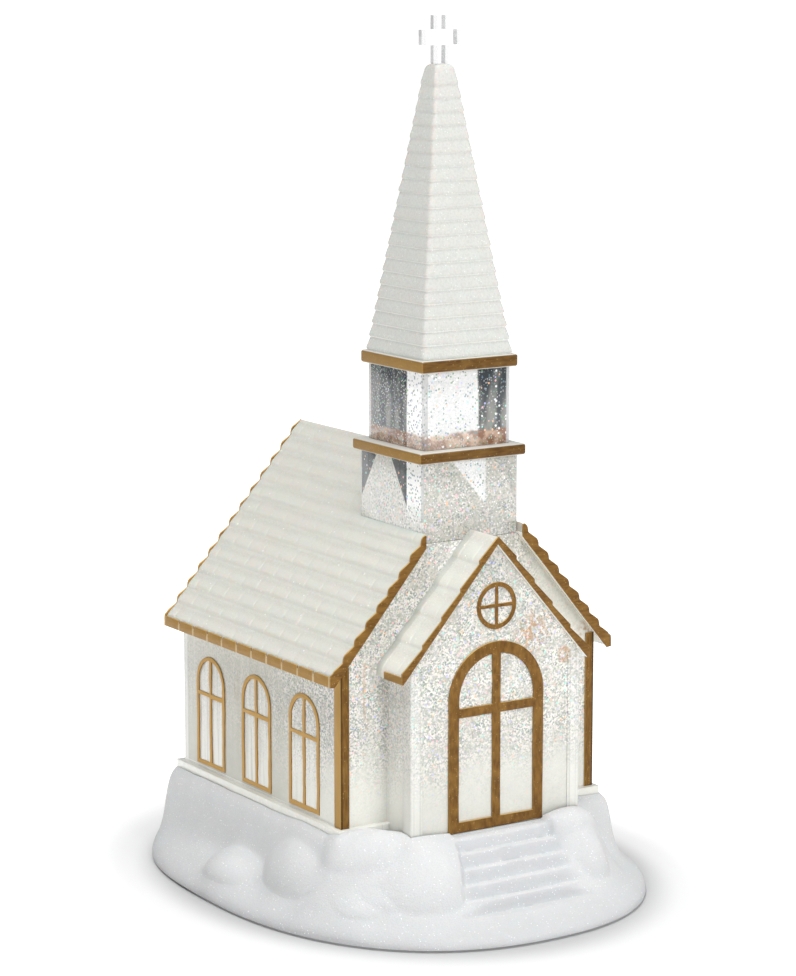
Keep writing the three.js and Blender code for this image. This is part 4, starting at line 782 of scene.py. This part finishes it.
def tread_height(y):
    """Level of the worn steps: each riser leans a little, and each tread sags to the back."""
    level = np.full_like(y, LANDING_Z)
    for i in range(STEP_COUNT):
        edge = STEP_FRONT - i * STEP_TREAD
        level = level - STEP_RISE * smooth(edge - y, -0.75, 0.95)
    return level


def flight_half_width(y):
    """The flight spreads towards its foot, and draws in again where it meets the ground."""
    along = np.clip((PORCH_PAD[1] - y) / (PORCH_PAD[1] - STEP_END), 0, 1)
    wide = FLIGHT_HALF + FLIGHT_SPREAD * along ** 2
    return wide - FLIGHT_SPREAD * smooth(STEP_END - y, 0, 9)


def finished_height(x, y):
    """The snow with faint ripples, and the steps cut into it."""
    height = snow_height(x, y)
    wave_x, wave_y = 0.23 * x + 1.7 * np.sin(0.11 * y), 0.19 * y + 0.8 * np.sin(0.17 * x)
    height = height + 0.22 * np.sin(wave_x) * np.cos(wave_y)
    inside = smooth(flight_half_width(y) - np.abs(x), -1.1, 1.3)
    inside = inside * (y < PORCH_PAD[1] + 1) * (y > STEP_END - FLIGHT_RUN_OUT)
    return height - inside * np.maximum(height - tread_height(y), 0)


print("steps in the snow:", STEP_COUNT)

# %% Build the snow base
RAYS, BANK_RINGS = 620, 100
OPENING, COLLAR, LEDGE = 32, 34.5, 29.5
LEDGE_Z, COLLAR_Z = 28.7, 27
RIM_WIDE, WALL, HOLLOW_LOW = 8, 3.5, 4.3


def ray_to_circle(sin, radius):
    """Distance from the centre to a circle round the pump, along each ray."""
    along = sin * PUMP_Y
    return along + np.sqrt(radius ** 2 - PUMP_Y ** 2 + along ** 2)


def ray_to_pad(cos, sin, pad):
    """Distance at which each ray leaves a pad and its gap, or 0 where it misses them."""
    tiny = 1e-9
    sx, sy = np.where(np.abs(cos) < tiny, tiny, cos), np.where(np.abs(sin) < tiny, tiny, sin)
    xs = np.stack([-(pad[0] + SEAT_GAP) / sx, (pad[0] + SEAT_GAP) / sx])
    ys = np.stack([(pad[1] - SEAT_GAP) / sy, (pad[2] + SEAT_GAP) / sy])
    near, far = np.maximum(xs.min(0), ys.min(0)), np.minimum(xs.max(0), ys.max(0))
    return np.where(near < far, np.maximum(far, 0), 0)


def ray_turns():
    """Directions of the rays: closer together at the front left, and one at each pad's corner."""
    spread = np.linspace(-math.pi, math.pi, 4000)
    total = np.cumsum(1 + 1.6 * np.exp(-((spread + math.pi / 2 + 0.25) / 0.6) ** 2))
    turns = np.interp(np.linspace(total[0], total[-1], RAYS, endpoint=False), total, spread)
    corners = [math.atan2(y, x) for pad in (NAVE_PAD, PORCH_PAD)
               for x in (-pad[0] - SEAT_GAP, pad[0] + SEAT_GAP)
               for y in (pad[1] - SEAT_GAP, pad[2] + SEAT_GAP)]
    return np.unique(np.concatenate([turns, corners]))


def hollow_height(x, y):
    """The ceiling of the hollow: the snow's underside, and that of the steps."""
    level = np.minimum(bank_height(x, y), DECK_Z)
    steps = np.minimum(level, np.where(y < PORCH_PAD[1], tread_height(y), 99))
    level = np.where(np.abs(x) < flight_half_width(y) + WALL, steps, level)
    return np.clip(level - DECK_THICKNESS - 0.4, HOLLOW_LOW, DECK_Z - DECK_THICKNESS)


def build_snow():
    turns = ray_turns()
    cos, sin = np.cos(turns), np.sin(turns)
    opening, collar, ledge = (ray_to_circle(sin, radius) for radius in (OPENING, COLLAR, LEDGE))
    foot = np.maximum(ray_to_pad(cos, sin, NAVE_PAD), ray_to_pad(cos, sin, PORCH_PAD))
    rim, mouth = outline_radius(cos, sin), outline_radius(cos, sin, RIM_WIDE)
    rings = [(opening, LEDGE_Z), (opening, DECK_Z), (foot, DECK_Z)]
    for share in 1 - (1 - np.linspace(0, 1, BANK_RINGS)[:-1]) ** 1.5:
        radius = foot + share * (rim - foot)
        rings.append((radius, finished_height(radius * cos, radius * sin)))
    rings += [(rim, RIM_Z), (mouth, RIM_Z)]
    for share in (1, 0.94, 0.87, 0.78, 0.68, 0.5):
        radius = mouth * share
        rings.append((radius, hollow_height((radius + WALL) * cos, (radius + WALL) * sin)))
    rings += [(collar, DECK_Z - DECK_THICKNESS), (collar, COLLAR_Z)]
    rings += [(ledge, COLLAR_Z), (ledge, LEDGE_Z)]
    rows = np.stack([np.stack([r * cos, r * sin, np.broadcast_to(z, r.shape)], axis=-1)
                     for r, z in rings], axis=1)
    points, faces = loop_solid(list(rows), closed=True)
    return add_piece("snow_bank", points, faces, snow_finish(), ("snow_base",), "snow", sharp=62)


snow_bank = build_snow()
print("snow faces:", len(snow_bank.data.polygons))

# %% [markdown]
# ## Shingled roofs
#
# Each roof is one moulding: rows of shingles, thickest at their lower edge, with narrow joints
# that are staggered from row to row. A texture could fake them, but the stepped edge shows against
# the background, so they are modelled. One profile per column runs from eave to eave and back
# along the underside. Every shingle gets a slightly different thickness, as a hand-cut master has.

# %% Build a shingled roof
# Up a row of shingles: how far up it, and how full the rounded lower edge is there.
ROW_SHAPE = ((0, 0), (0.012, 0.22), (0.035, 0.5), (0.075, 0.75), (0.14, 0.93), (0.25, 1),
             (0.6, 1), (0.93, 1))


def shingled_roof(name, node, finish, shade, sizes, seed):
    """A roof in place of its node; sizes are half width, eave, ridge, depth, rows and its ends."""
    half, eave, ridge, depth, courses, y0, y1 = sizes
    chance = np.random.default_rng(seed)
    count = round((y1 - y0) / SHINGLE_WIDTH)
    pitch = (y1 - y0) / count
    offsets = np.array([0, 0.22, 0.5, 1, 2.2]) / pitch
    near = np.concatenate([offsets, 0.5 - offsets[:0:-1]])
    columns = np.unique(np.append(np.arange(2 * count)[:, None] / 2 + near, count))
    columns = columns[columns <= count]
    ys = y0 + columns * pitch
    at_end = (ys < y0 + 0.01) | (ys > y1 - 0.01)
    thick = chance.uniform(-0.16, 0.16, (2, courses, count + 2))
    lean = chance.uniform(-0.12, 0.12, (2, courses, count + 2))

    def row_lines(side, i):
        """The lines of one row of shingles; the joints of every other row are shifted."""
        place = columns + (0.5 if i % 2 == 0 else 0)
        shingle = np.clip(np.floor(place).astype(int), 0, count + 1)
        from_joint = np.minimum(place - np.floor(place), np.ceil(place) - place) * pitch
        groove = np.where(at_end, 0, np.exp(-(from_joint / 0.38) ** 2))
        tilt = lean[side, i][shingle] * (place - np.floor(place) - 0.5)
        own = thick[side, i][shingle] + tilt
        corner = np.exp(-from_joint / 0.9) * 0.22
        for share, full in ROW_SHAPE:
            x = half - half / courses * (i + share)
            fade = (1 - share) * full
            height = fade * (SHINGLE_STEP + own * 0.8) - groove * 0.62 * fade * (1 - 0.5 * share)
            height = height - corner * fade * math.exp(-share / 0.1)
            yield x, ridge - x * (ridge - eave) / half + np.maximum(height, 0.02)

    right, left = [[line for i in range(courses) for line in row_lines(side, i)] for side in (0, 1)]
    loop = right + [(0, ridge + 0.1)] + [(-x, z) for x, z in reversed(left)]
    loop += [(-half, eave - depth), (0, ridge - depth), (half, eave - depth)]
    rows = np.stack([np.column_stack(np.broadcast_arrays(x, ys, z)) for x, z in loop], axis=1)
    points, faces = loop_solid(list(rows))
    frost = frosted_finish(finish, shade, half, half / courses)
    return add_piece(name, points, [face[::-1] for face in faces], frost, (node,), "frosted")


def cut_box(piece, low, high):
    """Cuts a box out of a piece, with a Boolean that is applied at once."""
    corners = [(x, y, z) for z in (low[2], high[2]) for y in (low[1], high[1])
               for x in (low[0], high[0])]
    faces = [(0, 2, 3, 1), (4, 5, 7, 6), (0, 1, 5, 4), (2, 6, 7, 3), (0, 4, 6, 2), (1, 3, 7, 5)]
    cutter = new_object("cutter", new_mesh("cutter", corners, faces))
    boolean = piece.modifiers.new("cut", "BOOLEAN")
    boolean.operation, boolean.solver, boolean.object = "DIFFERENCE", "EXACT", cutter
    built = piece.evaluated_get(bpy.context.evaluated_depsgraph_get())
    done = bpy.data.meshes.new_from_object(built)
    piece.modifiers.clear()
    piece.data = done
    bpy.data.objects.remove(cutter)


nave_sizes = (ROOF_HALF, EAVE_Z, RIDGE_Z, ROOF_DEPTH, ROOF_COURSES, ROOF_FRONT, ROOF_BACK)
porch_sizes = (42.3, 98.1, 147, 2.6, 5, PORCH_FRONT - 0.5, NAVE_FRONT)
nave_shingles = shingled_roof("nave_shingles", "nave_roof", "frosted_roof",
                              (0.625, 0.622, 0.565), nave_sizes, 11)
cut_box(nave_shingles, (-TOWER_REACH, -60, 90), (TOWER_REACH, TOWER_Y + TOWER_REACH, 190))
porch_shingles = shingled_roof("porch_shingles", "porch_roof", "frosted_porch_roof",
                               (0.6, 0.6, 0.55), porch_sizes, 12)
print("roof faces:", len(nave_shingles.data.polygons), len(porch_shingles.data.polygons))

# %% [markdown]
# ## The spire
#
# A tall four-sided spire in twenty-one courses. Its edges are a little rounded by the frost, and
# the courses show as small scallops against the background. Rounded squares are stacked, each
# course stepping out at its foot.

# %% Build the spire
SPIRE_COURSES, SPIRE_Z, SPIRE_TALL, SPIRE_LOW_HALF, SPIRE_TOP_HALF = 21, 212.8, 106.2, 20.2, 4.6
SPIRE_ROW = ((0, 0), (0.05, 0.35), (0.13, 0.72), (0.26, 0.95), (0.5, 1), (0.8, 1))
SPIRE_CAP = ((4.55, 0.1), (4.45, 0.8), (4.1, 1.7), (3.5, 2.4), (2.95, 2.7))


def rounded_square(half, radius, per_side=12, per_corner=4):
    corner = half - radius
    side = [(half, v) for v in np.linspace(-1, 1, per_side) * corner]
    bend = [(corner + radius * math.cos(a), corner + radius * math.sin(a))
            for a in np.linspace(0, math.pi / 2, per_corner + 2)[1:-1]]
    points = []
    for k in range(4):
        c, s = math.cos(k * math.pi / 2), math.sin(k * math.pi / 2)
        points += [(x * c - y * s, x * s + y * c) for x, y in side + bend]
    return np.array(points)


def build_spire():
    chance = np.random.default_rng(21)
    rows = []

    def lay(ring, z):
        rows.append(np.column_stack([ring + (0, TOWER_Y), np.full(len(ring), z)]))

    for i in range(SPIRE_COURSES):
        step = 0.75 * (1 - 0.5 * i / SPIRE_COURSES)
        waves = chance.uniform(-1, 1, (4, 3))[0]
        for share, full in SPIRE_ROW:
            at = (i + share) / SPIRE_COURSES
            half = SPIRE_LOW_HALF + (SPIRE_TOP_HALF - SPIRE_LOW_HALF) * at
            half = half + step * full * (1 - share)
            if i == 0:
                half = min(half, SPIRE_LOW_HALF + 0.35)
            ring = rounded_square(half, 1.25 + 0.5 * (1 - at))
            theta = np.arctan2(ring[:, 1], ring[:, 0])
            wobble = sum(w * np.sin((5 + 4 * k) * theta + 7 * w) for k, w in enumerate(waves))
            wobble = wobble * 0.09 * full * (1 - share)
            lay(ring * (1 + wobble / half)[:, None], SPIRE_Z + at * SPIRE_TALL)
    for half, above in SPIRE_CAP:
        lay(rounded_square(half, 1.2), SPIRE_Z + SPIRE_TALL + above)
    points, faces = loop_solid(rows)
    # The spire's frost is a darker copy of the roofs' frost: painted shade.
    frost = frosted_finish("frosted_spire", (0.555, 0.558, 0.525))
    return add_piece("spire_courses", points, faces, frost, ("spire",), "frosted", sharp=70)


spire_courses = build_spire()
print("spire faces:", len(spire_courses.data.polygons))

# %% [markdown]
# ## Clear walls, tower, belfry and cross
#
# These are injection-moulded parts with flat faces. The CAD shapes are right, so each is copied
# with its edges rounded, because it is the rounded edge that catches the light on clear plastic.
# The cross is empty, so it is nearly invisible: its side faces carry painted shade, grey and
# darker towards one upright edge each, and its front shows a faint haze.

# %% Soften the clear parts
def cross_finish():
    cross = Finish("clear_cross", Roughness=0.05, Coat_Weight=0.5)
    # Painted shade on the side faces, darkest towards one upright edge.
    sideways = cross.ramp(abs(cross.normal()), 0.5, 0.8)
    far_edge = cross.ramp((cross.y - TOWER_Y) * (cross.normal() * -1), -0.3, 0.6)
    seen = sideways * (0.06 + far_edge * 0.55) + cross.noise(3) * 0.06
    cross.set(Base_Color=cross.mix(sideways, (0.96, 0.97, 0.97), (0.3, 0.3, 0.31)),
              Alpha=0.08 + seen)
    return cross.material


shell_material = shell_finish()
clear_parts = [("chapel_walls", shell_material, 0.5), ("tower", shell_material, 0.5),
               ("belfry", shell_material, 0.4), ("spire_cross", cross_finish(), 0.3)]
for node, finish, bevel in clear_parts:
    print("clear part:", softened(node, finish, bevel, "clear_acrylic").name)
frame["nodes"]["liquid_fill"].data.materials.clear()
frame["nodes"]["liquid_fill"].data.materials.append(water_look("glitter_water").material)

# %% [markdown]
# ## Gold bands and trims
#
# The two bands round the tower are painted on their upright faces only; above and below they stay
# clear. The porch's verge, the eave trims and the corner strips are the painted ends of the roof
# and the walls. The CAD shapes are right, so all of these are softened copies. The other gold
# pieces wander more, and are drawn as lines in the next step.

# %% Soften the painted parts
# The bands' paint is a darker copy of the gold: painted shade.
gold_bands = gold_finish("gold_paint_bands", ACROSS, 0.45, shade=0.72, bare_top=True)
gold_along = gold_finish("gold_paint_across", ACROSS, 0.45)
gold_eave = gold_finish("gold_paint_eave", ACROSS, 0.5, joints=(ROOF_FRONT, EAVE_JOINT_PITCH))
gold_upright = gold_finish("gold_paint_upright", UPWARDS, 0.8, groove_at=NAVE_HALF + 0.15)
gold_trims = [
    ("lower_band", gold_bands, 0.45, 3), ("upper_band", gold_bands, 0.45, 3),
    ("porch_verge", gold_along, 0.22, 2), ("eave_trim_left", gold_eave, 0.3, 2),
    ("eave_trim_right", gold_eave, 0.3, 2), ("corner_strip_front_left", gold_upright, 0.25, 2),
    ("corner_strip_front_right", gold_upright, 0.25, 2),
]
for node, finish, bevel, segments in gold_trims:
    softened(node, finish, bevel, "gold_paint", segments)
print("painted copies:", len(gold_trims))

# %% [markdown]
# ## Door, windows and verges
#
# The frames are raised lines that someone painted with a steady but human hand, so they wander by
# a fraction of a millimetre. A flat curve with holes makes a frame with rounded edges in one go:
# each ring of points is walked at about a millimetre a step and nudged sideways by slow waves.
# The nave's verges are made the same way, from a ring with a rounded lobe at each row of shingles.

# %% Painted lines
WALK_STEP, SOFT_EDGE = 1.1, 0.28
# A frame in x and z, turned to face the front or a side, and the way in which it then faces.
TURNS = {"front": (((1, 0, 0), (0, 0, 1), (0, 1, 0)), (0, -1, 0)),
         "left": (((0, 0, 1), (1, 0, 0), (0, 1, 0)), (-1, 0, 0)),
         "right": (((0, 0, 1), (1, 0, 0), (0, 1, 0)), (1, 0, 0))}


def walk_round(corners, step):
    """Points about step apart along a closed line."""
    corners = np.asarray(corners, float)
    walked = []
    for a, b in zip(corners, np.roll(corners, -1, axis=0)):
        parts = max(1, int(round(np.linalg.norm(b - a) / step)))
        walked += [a + (b - a) * k / parts for k in range(parts)]
    return np.array(walked)


def wander(ring, amount, seed):
    """Nudges a ring sideways by slow waves."""
    chance = np.random.default_rng(seed)
    along = np.roll(ring, -1, axis=0) - np.roll(ring, 1, axis=0)
    across = np.column_stack([along[:, 1], -along[:, 0]])
    across = across / (np.linalg.norm(along, axis=1)[:, None] + 1e-9)
    turn = np.linspace(0, 2 * math.pi, len(ring), endpoint=False)
    waves = sum(np.sin(turn * k + chance.uniform(0, 6.28)) * chance.uniform(0.3, 1) / k ** 0.4
                for k in (2, 3, 5, 8, 13))
    return ring + across * (waves * amount / 2)[:, None]


def painted_frame(name, node, material, rings, thick, wobble, seed, way, x, y):
    """A frame drawn in x and z and raised by thick, on the wall at x and y that faces that way."""
    curve = bpy.data.curves.new(name, "CURVE")
    curve.dimensions, curve.fill_mode = "2D", "BOTH"
    soft_edge = min(SOFT_EDGE, thick * 0.45)
    curve.bevel_depth, curve.bevel_resolution, curve.offset = soft_edge, 2, -soft_edge
    curve.extrude = thick / 2 - soft_edge
    for k, ring in enumerate(rings):
        ring = wander(walk_round(ring, WALK_STEP), wobble, seed * 10 + k)
        spline = curve.splines.new("POLY")
        spline.points.add(len(ring) - 1)
        for point, (across, up) in zip(spline.points, ring):
            point.co = (across, up, 0, 1)
        spline.use_cyclic_u = True
    holder = new_object(name + "_line", curve)
    built = holder.evaluated_get(bpy.context.evaluated_depsgraph_get())
    mesh = bpy.data.meshes.new_from_object(built)
    bpy.data.objects.remove(holder)
    mesh.name = name
    basis, outward = TURNS[way]
    middle = Vector((x, y, 0)) + Vector(outward) * (thick / 2)
    mesh.transform(Matrix.Scale(MM, 4) @ Matrix.Translation(middle) @ Matrix(basis).to_4x4())
    shape = bmesh.new()
    shape.from_mesh(mesh)
    bmesh.ops.remove_doubles(shape, verts=shape.verts, dist=MERGE_WITHIN)
    bmesh.ops.recalc_face_normals(shape, faces=shape.faces)
    shape.to_mesh(mesh)
    shape.free()
    return settle(new_object(name, mesh), material, "chapel", (node,), "gold_paint")


print("painted lines can be drawn")

# %% Door and windows
ROUND_CENTRE, ROUND_HALF, ROUND_INNER, BAR_HALF = 120.7, 9.05, 7.25, 0.7
DOOR_SIZES = (21.7, 34.7, 85.4, 4.6, 4, 3.7, 79.3, 3.6)
WINDOW_SIZES = (11.2, 39.7, WINDOW_SPRING, 1.8, 1.8, 1.7, 68.2, 1.7)


def arc(radius, centre_z, start, end, steps):
    return [(radius * math.cos(a), centre_z + radius * math.sin(a))
            for a in np.linspace(start, end, steps)]


def arched_rings(half, sill, spring, edge, foot, mullion, rail_z, rail):
    """The outline of an arched frame and its four lights."""
    inner, m = half - edge, mullion / 2
    rings = [[(-half, sill), (half, sill), *arc(half, spring, 0, math.pi, 33)]]
    low = [(m, sill + foot), (inner, sill + foot), (inner, rail_z), (m, rail_z)]
    high = [(m, rail_z + rail), (inner, rail_z + rail),
            *arc(inner, spring, 0, math.acos(m / inner), 17)]
    for light in (low, high):
        rings += [light, [(-x, z) for x, z in light]]
    return rings


def round_rings():
    """The outline of the round window and its four quarters of glass."""
    start = math.asin(BAR_HALF / ROUND_INNER)
    quarter = [(BAR_HALF, BAR_HALF), *arc(ROUND_INNER, 0, start, math.pi / 2 - start, 9)]
    rings = [arc(ROUND_HALF, 0, 0, 2 * math.pi, 49)[:-1]]
    for c, s in ((1, 0), (0, 1), (-1, 0), (0, -1)):
        rings.append([(c * x - s * z, s * x + c * z) for x, z in quarter])
    return [[(x, z + ROUND_CENTRE) for x, z in ring] for ring in rings]


# The window frames' paint is a brighter copy of the gold: painted light.
gold_frames = gold_finish("gold_paint_frames", (1, 1, 0.6), 0.9, shade=1.8)
gold_door = gold_finish("gold_paint_door", (1.2, 1.2, 0.5), 0.3)
painted_frame("door_painted", "door_frame", gold_door, arched_rings(*DOOR_SIZES),
              DOOR_PROUD, 0.16, 3, "front", 0, PORCH_FRONT)
painted_frame("round_window_painted", "round_window", gold_door, round_rings(),
              0.5, 0.14, 4, "front", 0, PORCH_FRONT)
for side, x, first_seed in (("left", -NAVE_HALF, 15), ("right", NAVE_HALF, 10)):
    for k in range(3):
        name, y = f"window_{side}_{k + 1}", WINDOW_Y + (k - 1) * WINDOW_PITCH
        painted_frame(name + "_painted", name, gold_frames, arched_rings(*WINDOW_SIZES),
                      0.5, 0.3, first_seed + k, side, x, y)
print("door, round window and six windows are in place")

# %% Verges of the nave
LOBE = ((0, 0), (0.03, 0.62), (0.09, 0.9), (0.18, 1), (0.35, 0.8), (0.6, 0.48),
        (0.85, 0.14), (0.96, 0))
VERGE_OUT, VERGE_THICK, VERGE_DEPTH, VERGE_STOP = 0.8, 0.8, 4.5, 22.1
EAVE_FOOT = EAVE_Z - ROOF_DEPTH
ROOF_SLOPE = (RIDGE_Z - EAVE_Z) / ROOF_HALF


def lobed_line(stop, tooth):
    """The saw-toothed line from the eave up to where x is stop."""
    line = [(ROOF_HALF + VERGE_OUT, EAVE_FOOT), (ROOF_HALF + VERGE_OUT, EAVE_Z - 0.6)]
    for i in range(ROOF_COURSES):
        for share, full in LOBE:
            x = ROOF_HALF - ROOF_HALF / ROOF_COURSES * (i + share)
            if x > stop:
                out = VERGE_OUT if i == 0 and share < 0.05 else 0
                line.append((x + out, RIDGE_Z - x * ROOF_SLOPE + 0.15 + tooth * full))
    return line


def front_verge(side):
    """The front verge on one side: it stops at the tower, and is deeper than the roof."""
    top, low = RIDGE_Z - VERGE_STOP * ROOF_SLOPE, EAVE_Z - VERGE_DEPTH
    ring = lobed_line(VERGE_STOP, 1.8) + [(VERGE_STOP, top + 0.3), (VERGE_STOP, top - VERGE_DEPTH),
                                          (ROOF_HALF - 1.2, low + 1.2), (ROOF_HALF, EAVE_FOOT)]
    return [(side * x, z) for x, z in ring]


def rear_verge():
    line = lobed_line(0, 2)
    under = [(-ROOF_HALF, EAVE_FOOT), (0, RIDGE_Z - ROOF_DEPTH), (ROOF_HALF, EAVE_FOOT)]
    return line + [(0, RIDGE_Z + 0.3)] + [(-x, z) for x, z in reversed(line)] + under


gold_verge = gold_finish("gold_paint_verge", ACROSS, 0.45)
for side, sign in (("left", -1), ("right", 1)):
    painted_frame(f"verge_{side}_painted", f"front_verge_{side}", gold_verge, [front_verge(sign)],
                  VERGE_THICK, 0.1, 30 + sign, "front", 0, ROOF_FRONT)
# The rear verge's paint is a brighter copy of the gold: painted light.
copper_verge = gold_finish("gold_paint_rear", ACROSS, 0.9, shade=1.9)
painted_frame("verge_rear_painted", "rear_verge", copper_verge, [rear_verge()],
              VERGE_THICK, 0.1, 34, "front", 0, ROOF_BACK + VERGE_THICK)
print("the verges are in place")

# %% [markdown]
# ## The works underneath and inside
#
# The base plate, the battery door and the switch are plain mouldings, and the pump and the lights
# sit in the hollow. They are seen from below or through the clear floor, so each gets a finish
# with a little texture: the fine spark-eroded grain of moulded plastic, or turned metal.

# %% Plain finishes and the softened works
def moulded_finish(name, shade, rough=0.5, grain=0.25, metallic=0):
    plain = Finish(name, Metallic=metallic)
    texture, wear = plain.noise(0.35, 2), plain.noise(8, 3)
    worn = tuple(s * 0.86 for s in shade)
    plain.set(Base_Color=plain.mix(wear, worn, shade),
              Roughness=rough * 0.85 + texture * rough * 0.3)
    plain.bump(texture, grain, 0.1)
    return plain.material


def lamp_finish():
    lamp = Finish("warm_lamp", Roughness=0.2, Emission_Strength=2)
    glow = lamp.ramp(lamp.z, 29, 33.5)
    lamp.set(Base_Color=lamp.mix(glow, (0.9, 0.8, 0.6), (1, 0.93, 0.78)),
             Emission_Color=lamp.mix(glow, (1, 0.72, 0.38), (1, 0.86, 0.62)))
    return lamp.material


white_plastic = moulded_finish("moulded_white", (0.8, 0.81, 0.81), 0.5)
steel = moulded_finish("contact_steel_finish", (0.56, 0.57, 0.58), 0.32, 0.1, 0.9)
magnet_black = moulded_finish("sintered_magnet", (0.05, 0.05, 0.055), 0.6, 0.4)
rubber = moulded_finish("foot_rubber_finish", (0.06, 0.06, 0.065), 0.85, 0.5)
board_green = moulded_finish("board_green_finish", (0.03, 0.14, 0.07), 0.4)
cell_sleeve = moulded_finish("cell_sleeve_finish", (0.05, 0.09, 0.14), 0.35, 0.05)
board_white = moulded_finish("board_white_finish", (0.78, 0.79, 0.78), 0.4)
slider_black = moulded_finish("slider_black_finish", (0.02, 0.02, 0.022), 0.5)
plug_finish = moulded_finish("plug_finish", (0.7, 0.71, 0.7), 0.7, 0.5)
warm_lamp = lamp_finish()
# Nodes, finish and rounding in millimetres, and where there are any, slot and segments.
works = [
    ("base_plate battery_door", white_plastic, 0.3),
    ("magnet_hub impeller", white_plastic, 0.2),
    ("switch_slider", slider_black, 0.15),
    ("circuit_board", board_green, 0.15),
    ("light_board", board_white, 0.1),
    ("switch_body", steel, 0.2),
    ("motor", steel, 0.3),
    ("filler_plug", plug_finish, 0.3),
    ("contact_left contact_right", steel, 0.1),
    ("motor_shaft impeller_pin", steel, 0.1, None, 1),
    ("drive_magnet impeller_magnet", magnet_black, 0.1, None, 1),
    ("foot_1 foot_2 foot_3 foot_4", rubber, 0.15),
    ("plate_screw_1 plate_screw_2 plate_screw_3 plate_screw_4", steel, 0.1, None, 1),
    ("battery_cell_1 battery_cell_2 battery_cell_3", cell_sleeve, 0.15, "cell_sleeve"),
    ("chamber_floor", clear_finish("clear_floor", 0.3), 0.2),
    ("light_left light_right", warm_lamp, 0.1, "lamp"),
]
for nodes, *how in works:
    for node in nodes.split():
        softened(node, *how)
print("works are finished")

# %% [markdown]
# ## Floor and light
#
# The picture has a white ground with a soft grey shadow close to the base. A matt paper that gives
# off light of its own comes out white; its glow grows with the distance from the base, so that the
# contact shadow stays. Under the base it glows faintly and lights the rim from below, as a bright
# table does. The room is bright and even, with a large soft lamp in front and one above.

# %% Studio
FLOOR_RADIUS, FLOOR_SIDES = 30000, 96
GREY, PAPER_WHITE, ROOM_WHITE = (0.5,) * 3, (0.88,) * 3, (1, 0.995, 0.985, 1)


def paper_finish():
    paper = Finish("studio_paper", Base_Color=GREY, Roughness=0.9)
    across, along = abs(paper.x / HALF_WIDTH), abs(paper.y / HALF_DEPTH)
    away = paper.maths("SQRT", across * across + along * along)
    under_base = paper.ramp(across ** FRONT_POWER + along ** FRONT_POWER, 1, 0.96)
    glow = paper.ramp(away, 1, 1.2) * 0.4 + paper.ramp(away, 1.15, 1.7) * 0.6
    paper.shine(glow + under_base * 0.16, PAPER_WHITE)
    return paper.material


def soft_lamp(name, place, aim_z, size, power):
    """A round lamp at a place in metres, turned to a point over the origin."""
    data = bpy.data.lights.new(name, "AREA")
    data.shape, data.size, data.energy = "DISK", size, power
    data.color = (0.975, 0.985, 1)
    lamp = new_object(name, data)
    lamp.location = place
    lamp.rotation_mode = "QUATERNION"
    lamp.rotation_quaternion = (Vector((0, 0, aim_z)) - Vector(place)).to_track_quat("-Z", "Y")


turns = np.linspace(0, 2 * math.pi, FLOOR_SIDES, endpoint=False)
ring = [(FLOOR_RADIUS * math.cos(a), FLOOR_RADIUS * math.sin(a), 0) for a in turns]
floor = new_object("studio_floor", new_mesh("studio_floor", ring, [list(range(FLOOR_SIDES))]))
floor.data.materials.append(paper_finish())
world = bpy.data.worlds.new("studio_room")
bpy.context.scene.world = world
world.use_nodes = True
room = world.node_tree.nodes["Background"]
room.inputs["Color"].default_value, room.inputs["Strength"].default_value = ROOM_WHITE, 0.37
soft_lamp("key_lamp", (0.3, -2, 1.5), 0.12, 1.4, 27)
soft_lamp("top_lamp", (-0.45, -0.3, 1.9), 0.1, 1, 25)
bpy.context.scene.view_settings.view_transform = "Standard"
